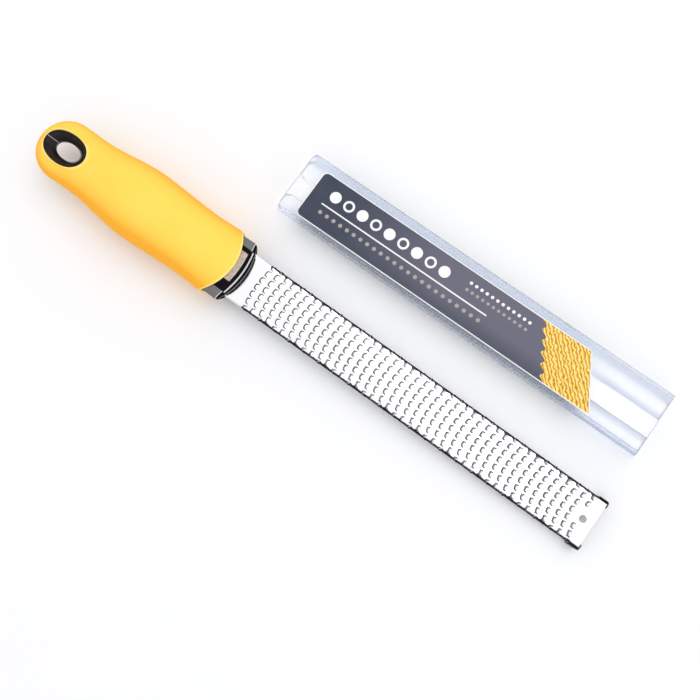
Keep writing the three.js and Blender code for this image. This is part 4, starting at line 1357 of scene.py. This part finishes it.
class ZESTER_OT_grip(bpy.types.Operator):
    """Builds the soft yellow grip"""

    bl_idname = "zester.grip"
    bl_label = "Grip"

    def execute(self, context):
        handle = context.scene.zester_handle
        shell, edge_highlight, flank_shade = grip_shell(handle)
        piece = make_piece("soft_grip", laid(shell), grip_material(), ZESTER, "grip")
        # Painted highlight along the edges, and painted shade on the flanks
        store_values(piece, "edge_highlight", np.tile(edge_highlight, 2))
        store_values(piece, "flank_shade", np.tile(flank_shade, 2))
        round_edges(piece, handle.edge_round, segments=3)
        return {"FINISHED"}


class ZESTER_OT_core(bpy.types.Operator):
    """Builds the smoke core with its collar, and the lining of the hanging hole"""

    bl_idname = "zester.core"
    bl_label = "Core and eyelet"

    def execute(self, context):
        handle = context.scene.zester_handle
        pieces = (
            ("smoke_collar", core_shell(handle), smoke_material(), "behind"),
            ("eyelet_liner", liner_shell(handle), liner_material(), "ridge"),
        )
        for name, (shell, values), material, layer in pieces:
            piece = make_piece(name, laid(shell), material, ZESTER, "handle_core")
            store_values(piece, layer, values)
        return {"FINISHED"}


class ZESTER_OT_blade(bpy.types.Operator):
    """Builds the toothed steel blade with its tang"""

    bl_idname = "zester.blade"
    bl_label = "Blade"

    def execute(self, context):
        blade, handle = context.scene.zester_blade, context.scene.zester_handle
        sheet, painted_dark = blade_shell(blade, handle)
        shell = joined(sheet, tang_shell(blade, handle))
        piece = make_piece("toothed_blade", laid(shell), steel_material(), ZESTER, "blade")
        points, faces = shell
        values = np.zeros(len(points))
        values[: 2 * len(painted_dark)] = np.tile(painted_dark, 2)
        store_values(piece, "painted_dark", values)
        # Painted shade on the slits' walls
        slit_walls = len(sheet[1]) - 1
        walls = np.repeat(np.arange(len(faces)) == slit_walls, [len(part) for part in faces])
        store_values(piece, "cut_wall", walls, "FACE")
        return {"FINISHED"}


class ZESTER_OT_tips(bpy.types.Operator):
    """Slims the outer walls of the two end tips and rounds their edges"""

    bl_idname = "zester.tips"
    bl_label = "End tips"

    def execute(self, context):
        blade, material = context.scene.zester_blade, tip_material()
        for side in ("left", "right"):
            node = f"end_tip_{side}"
            shell = tip_shell(node, blade)
            piece = make_piece(f"{side}_end_tip", shell, material, ZESTER, node)
            round_edges(piece, blade.tip_round, degrees=30.0)
        return {"FINISHED"}


class ZESTER_OT_cover(bpy.types.Operator):
    """Builds the clear blade cover"""

    bl_idname = "zester.cover"
    bl_label = "Blade cover"

    def execute(self, context):
        cover = context.scene.zester_cover
        shell = cover_shell(cover)
        piece = make_piece("clear_cover", shell, clear_material(), COVER, "blade_cover")
        piece.data.materials.append(cut_material())
        faces = piece.data.polygons
        normals = np.empty(3 * len(faces))
        faces.foreach_get("normal", normals)
        least_lengthways = 0.05
        ends = np.abs(normals[0::3]) > least_lengthways
        faces.foreach_set("material_index", ends.astype(np.int32))
        round_edges(piece, cover.edge_round)
        return {"FINISHED"}


class ZESTER_OT_label(bpy.types.Operator):
    """Builds the label on the cover"""

    bl_idname = "zester.label"
    bl_label = "Label"

    def execute(self, context):
        shell = label_shell(context.scene.zester_cover)
        make_piece("printed_label", shell, label_material(), COVER, "cover_label")
        return {"FINISHED"}


class ZESTER_OT_stage(bpy.types.Operator):
    """Builds the table, the lights and the camera"""

    bl_idname = "zester.stage"
    bl_label = "Table, lights and camera"

    def execute(self, context):
        scene = context.scene
        stage = scene.zester_stage
        self.build_table(scene, stage)
        self.build_lights(scene, stage)
        self.build_camera(scene, stage)
        scene.view_settings.view_transform = "Standard"
        return {"FINISHED"}

    def build_table(self, scene, stage):
        half = stage.table_size / 2
        corners = [(-half, -half, 0.0), (half, -half, 0.0), (half, half, 0.0), (-half, half, 0.0)]
        mesh = bpy.data.meshes.new("table")
        mesh.from_pydata(corners, [], [(0, 1, 2, 3)])
        material, tree, _, shader, _ = new_material("table_white")
        look = {"Base Color": (*stage.table, 1.0), "Roughness": 0.6, "Specular IOR Level": 0.2}
        feed(tree, shader, look)
        mesh.materials.append(material)
        table = bpy.data.objects.new("table", mesh)
        scene.collection.objects.link(table)

    def build_lights(self, scene, stage):
        world = bpy.data.worlds.new("studio")
        scene.world = world
        world.use_nodes = True
        tree = world.node_tree
        tree.nodes.clear()
        rays = add(tree, "ShaderNodeLightPath").outputs
        seen = either(tree, rays["Is Camera Ray"], rays["Is Glossy Ray"], rays["Is Transmission Ray"])
        height = axes_of(tree, add(tree, "ShaderNodeTexCoord").outputs["Generated"])["Z"]
        walls_from, walls_to = 0.1, 0.65
        walls = ramp(tree, height, walls_from, walls_to, stage.walls, 1.0)
        bright = maths(tree, "MAXIMUM", walls, rays["Is Camera Ray"])
        strength = ramp(tree, seen, 0.0, 1.0, stage.ambient, bright)
        light = add(tree, "ShaderNodeBackground", {"Color": (1.0, 1.0, 1.0, 1.0), "Strength": strength})
        add(tree, "ShaderNodeOutputWorld", {"Surface": light.outputs[0]})

        lamp = bpy.data.lights.new("soft_lamp", "AREA")
        lamp.shape = "SQUARE"
        lamp.size = stage.lamp_size
        lamp.energy = stage.lamp
        soft = bpy.data.objects.new("soft_lamp", lamp)
        soft.location = stage.lamp_at
        soft.rotation_euler = (-Vector(stage.lamp_at)).to_track_quat("-Z", "Y").to_euler()
        scene.collection.objects.link(soft)

    def build_camera(self, scene, stage):
        camera = bpy.data.cameras.new("camera")
        camera.sensor_fit = "HORIZONTAL"
        camera.sensor_width = stage.sensor
        camera.lens = stage.lens
        camera.clip_start = 0.01
        holder = bpy.data.objects.new("camera", camera)
        towards = Vector(stage.aim) - Vector(stage.eye)
        turn = Quaternion((0.0, 0.0, 1.0), -stage.turn)
        holder.location = stage.eye
        holder.rotation_euler = (towards.to_track_quat("-Z", "Y") @ turn).to_euler()
        scene.collection.objects.link(holder)
        scene.camera = holder


class ZESTER_PT_panel(bpy.types.Panel):
    """Lists the pieces and the stage"""

    bl_idname = "ZESTER_PT_panel"
    bl_label = "Zester"
    bl_space_type = "VIEW_3D"
    bl_region_type = "UI"
    bl_category = "Zester"

    def draw(self, context):
        for operator in OPERATORS:
            self.layout.operator(operator.bl_idname)


OPERATORS = (
    ZESTER_OT_grip,
    ZESTER_OT_core,
    ZESTER_OT_blade,
    ZESTER_OT_tips,
    ZESTER_OT_cover,
    ZESTER_OT_label,
    ZESTER_OT_stage,
)
GROUPS = {
    "zester_blade": ZesterBlade,
    "zester_handle": ZesterHandle,
    "zester_cover": ZesterCover,
    "zester_finish": ZesterFinish,
    "zester_stage": ZesterStage,
}


def register():
    """Registers the classes and gives the scene its groups of sizes and colours."""
    for group in (*GROUPS.values(), *OPERATORS, ZESTER_PT_panel):
        bpy.utils.register_class(group)
    for name, group in GROUPS.items():
        setattr(bpy.types.Scene, name, PointerProperty(type=group))


def unregister():
    """Takes the groups and the classes away again."""
    for name in GROUPS:
        delattr(bpy.types.Scene, name)
    for group in reversed((*GROUPS.values(), *OPERATORS, ZESTER_PT_panel)):
        bpy.utils.unregister_class(group)


def main():
    """Builds all pieces and the stage."""
    register()
    bpy.ops.zester.grip()
    bpy.ops.zester.core()
    bpy.ops.zester.blade()
    bpy.ops.zester.tips()
    bpy.ops.zester.cover()
    bpy.ops.zester.label()
    bpy.ops.zester.stage()


if __name__ == "__main__":
    main()
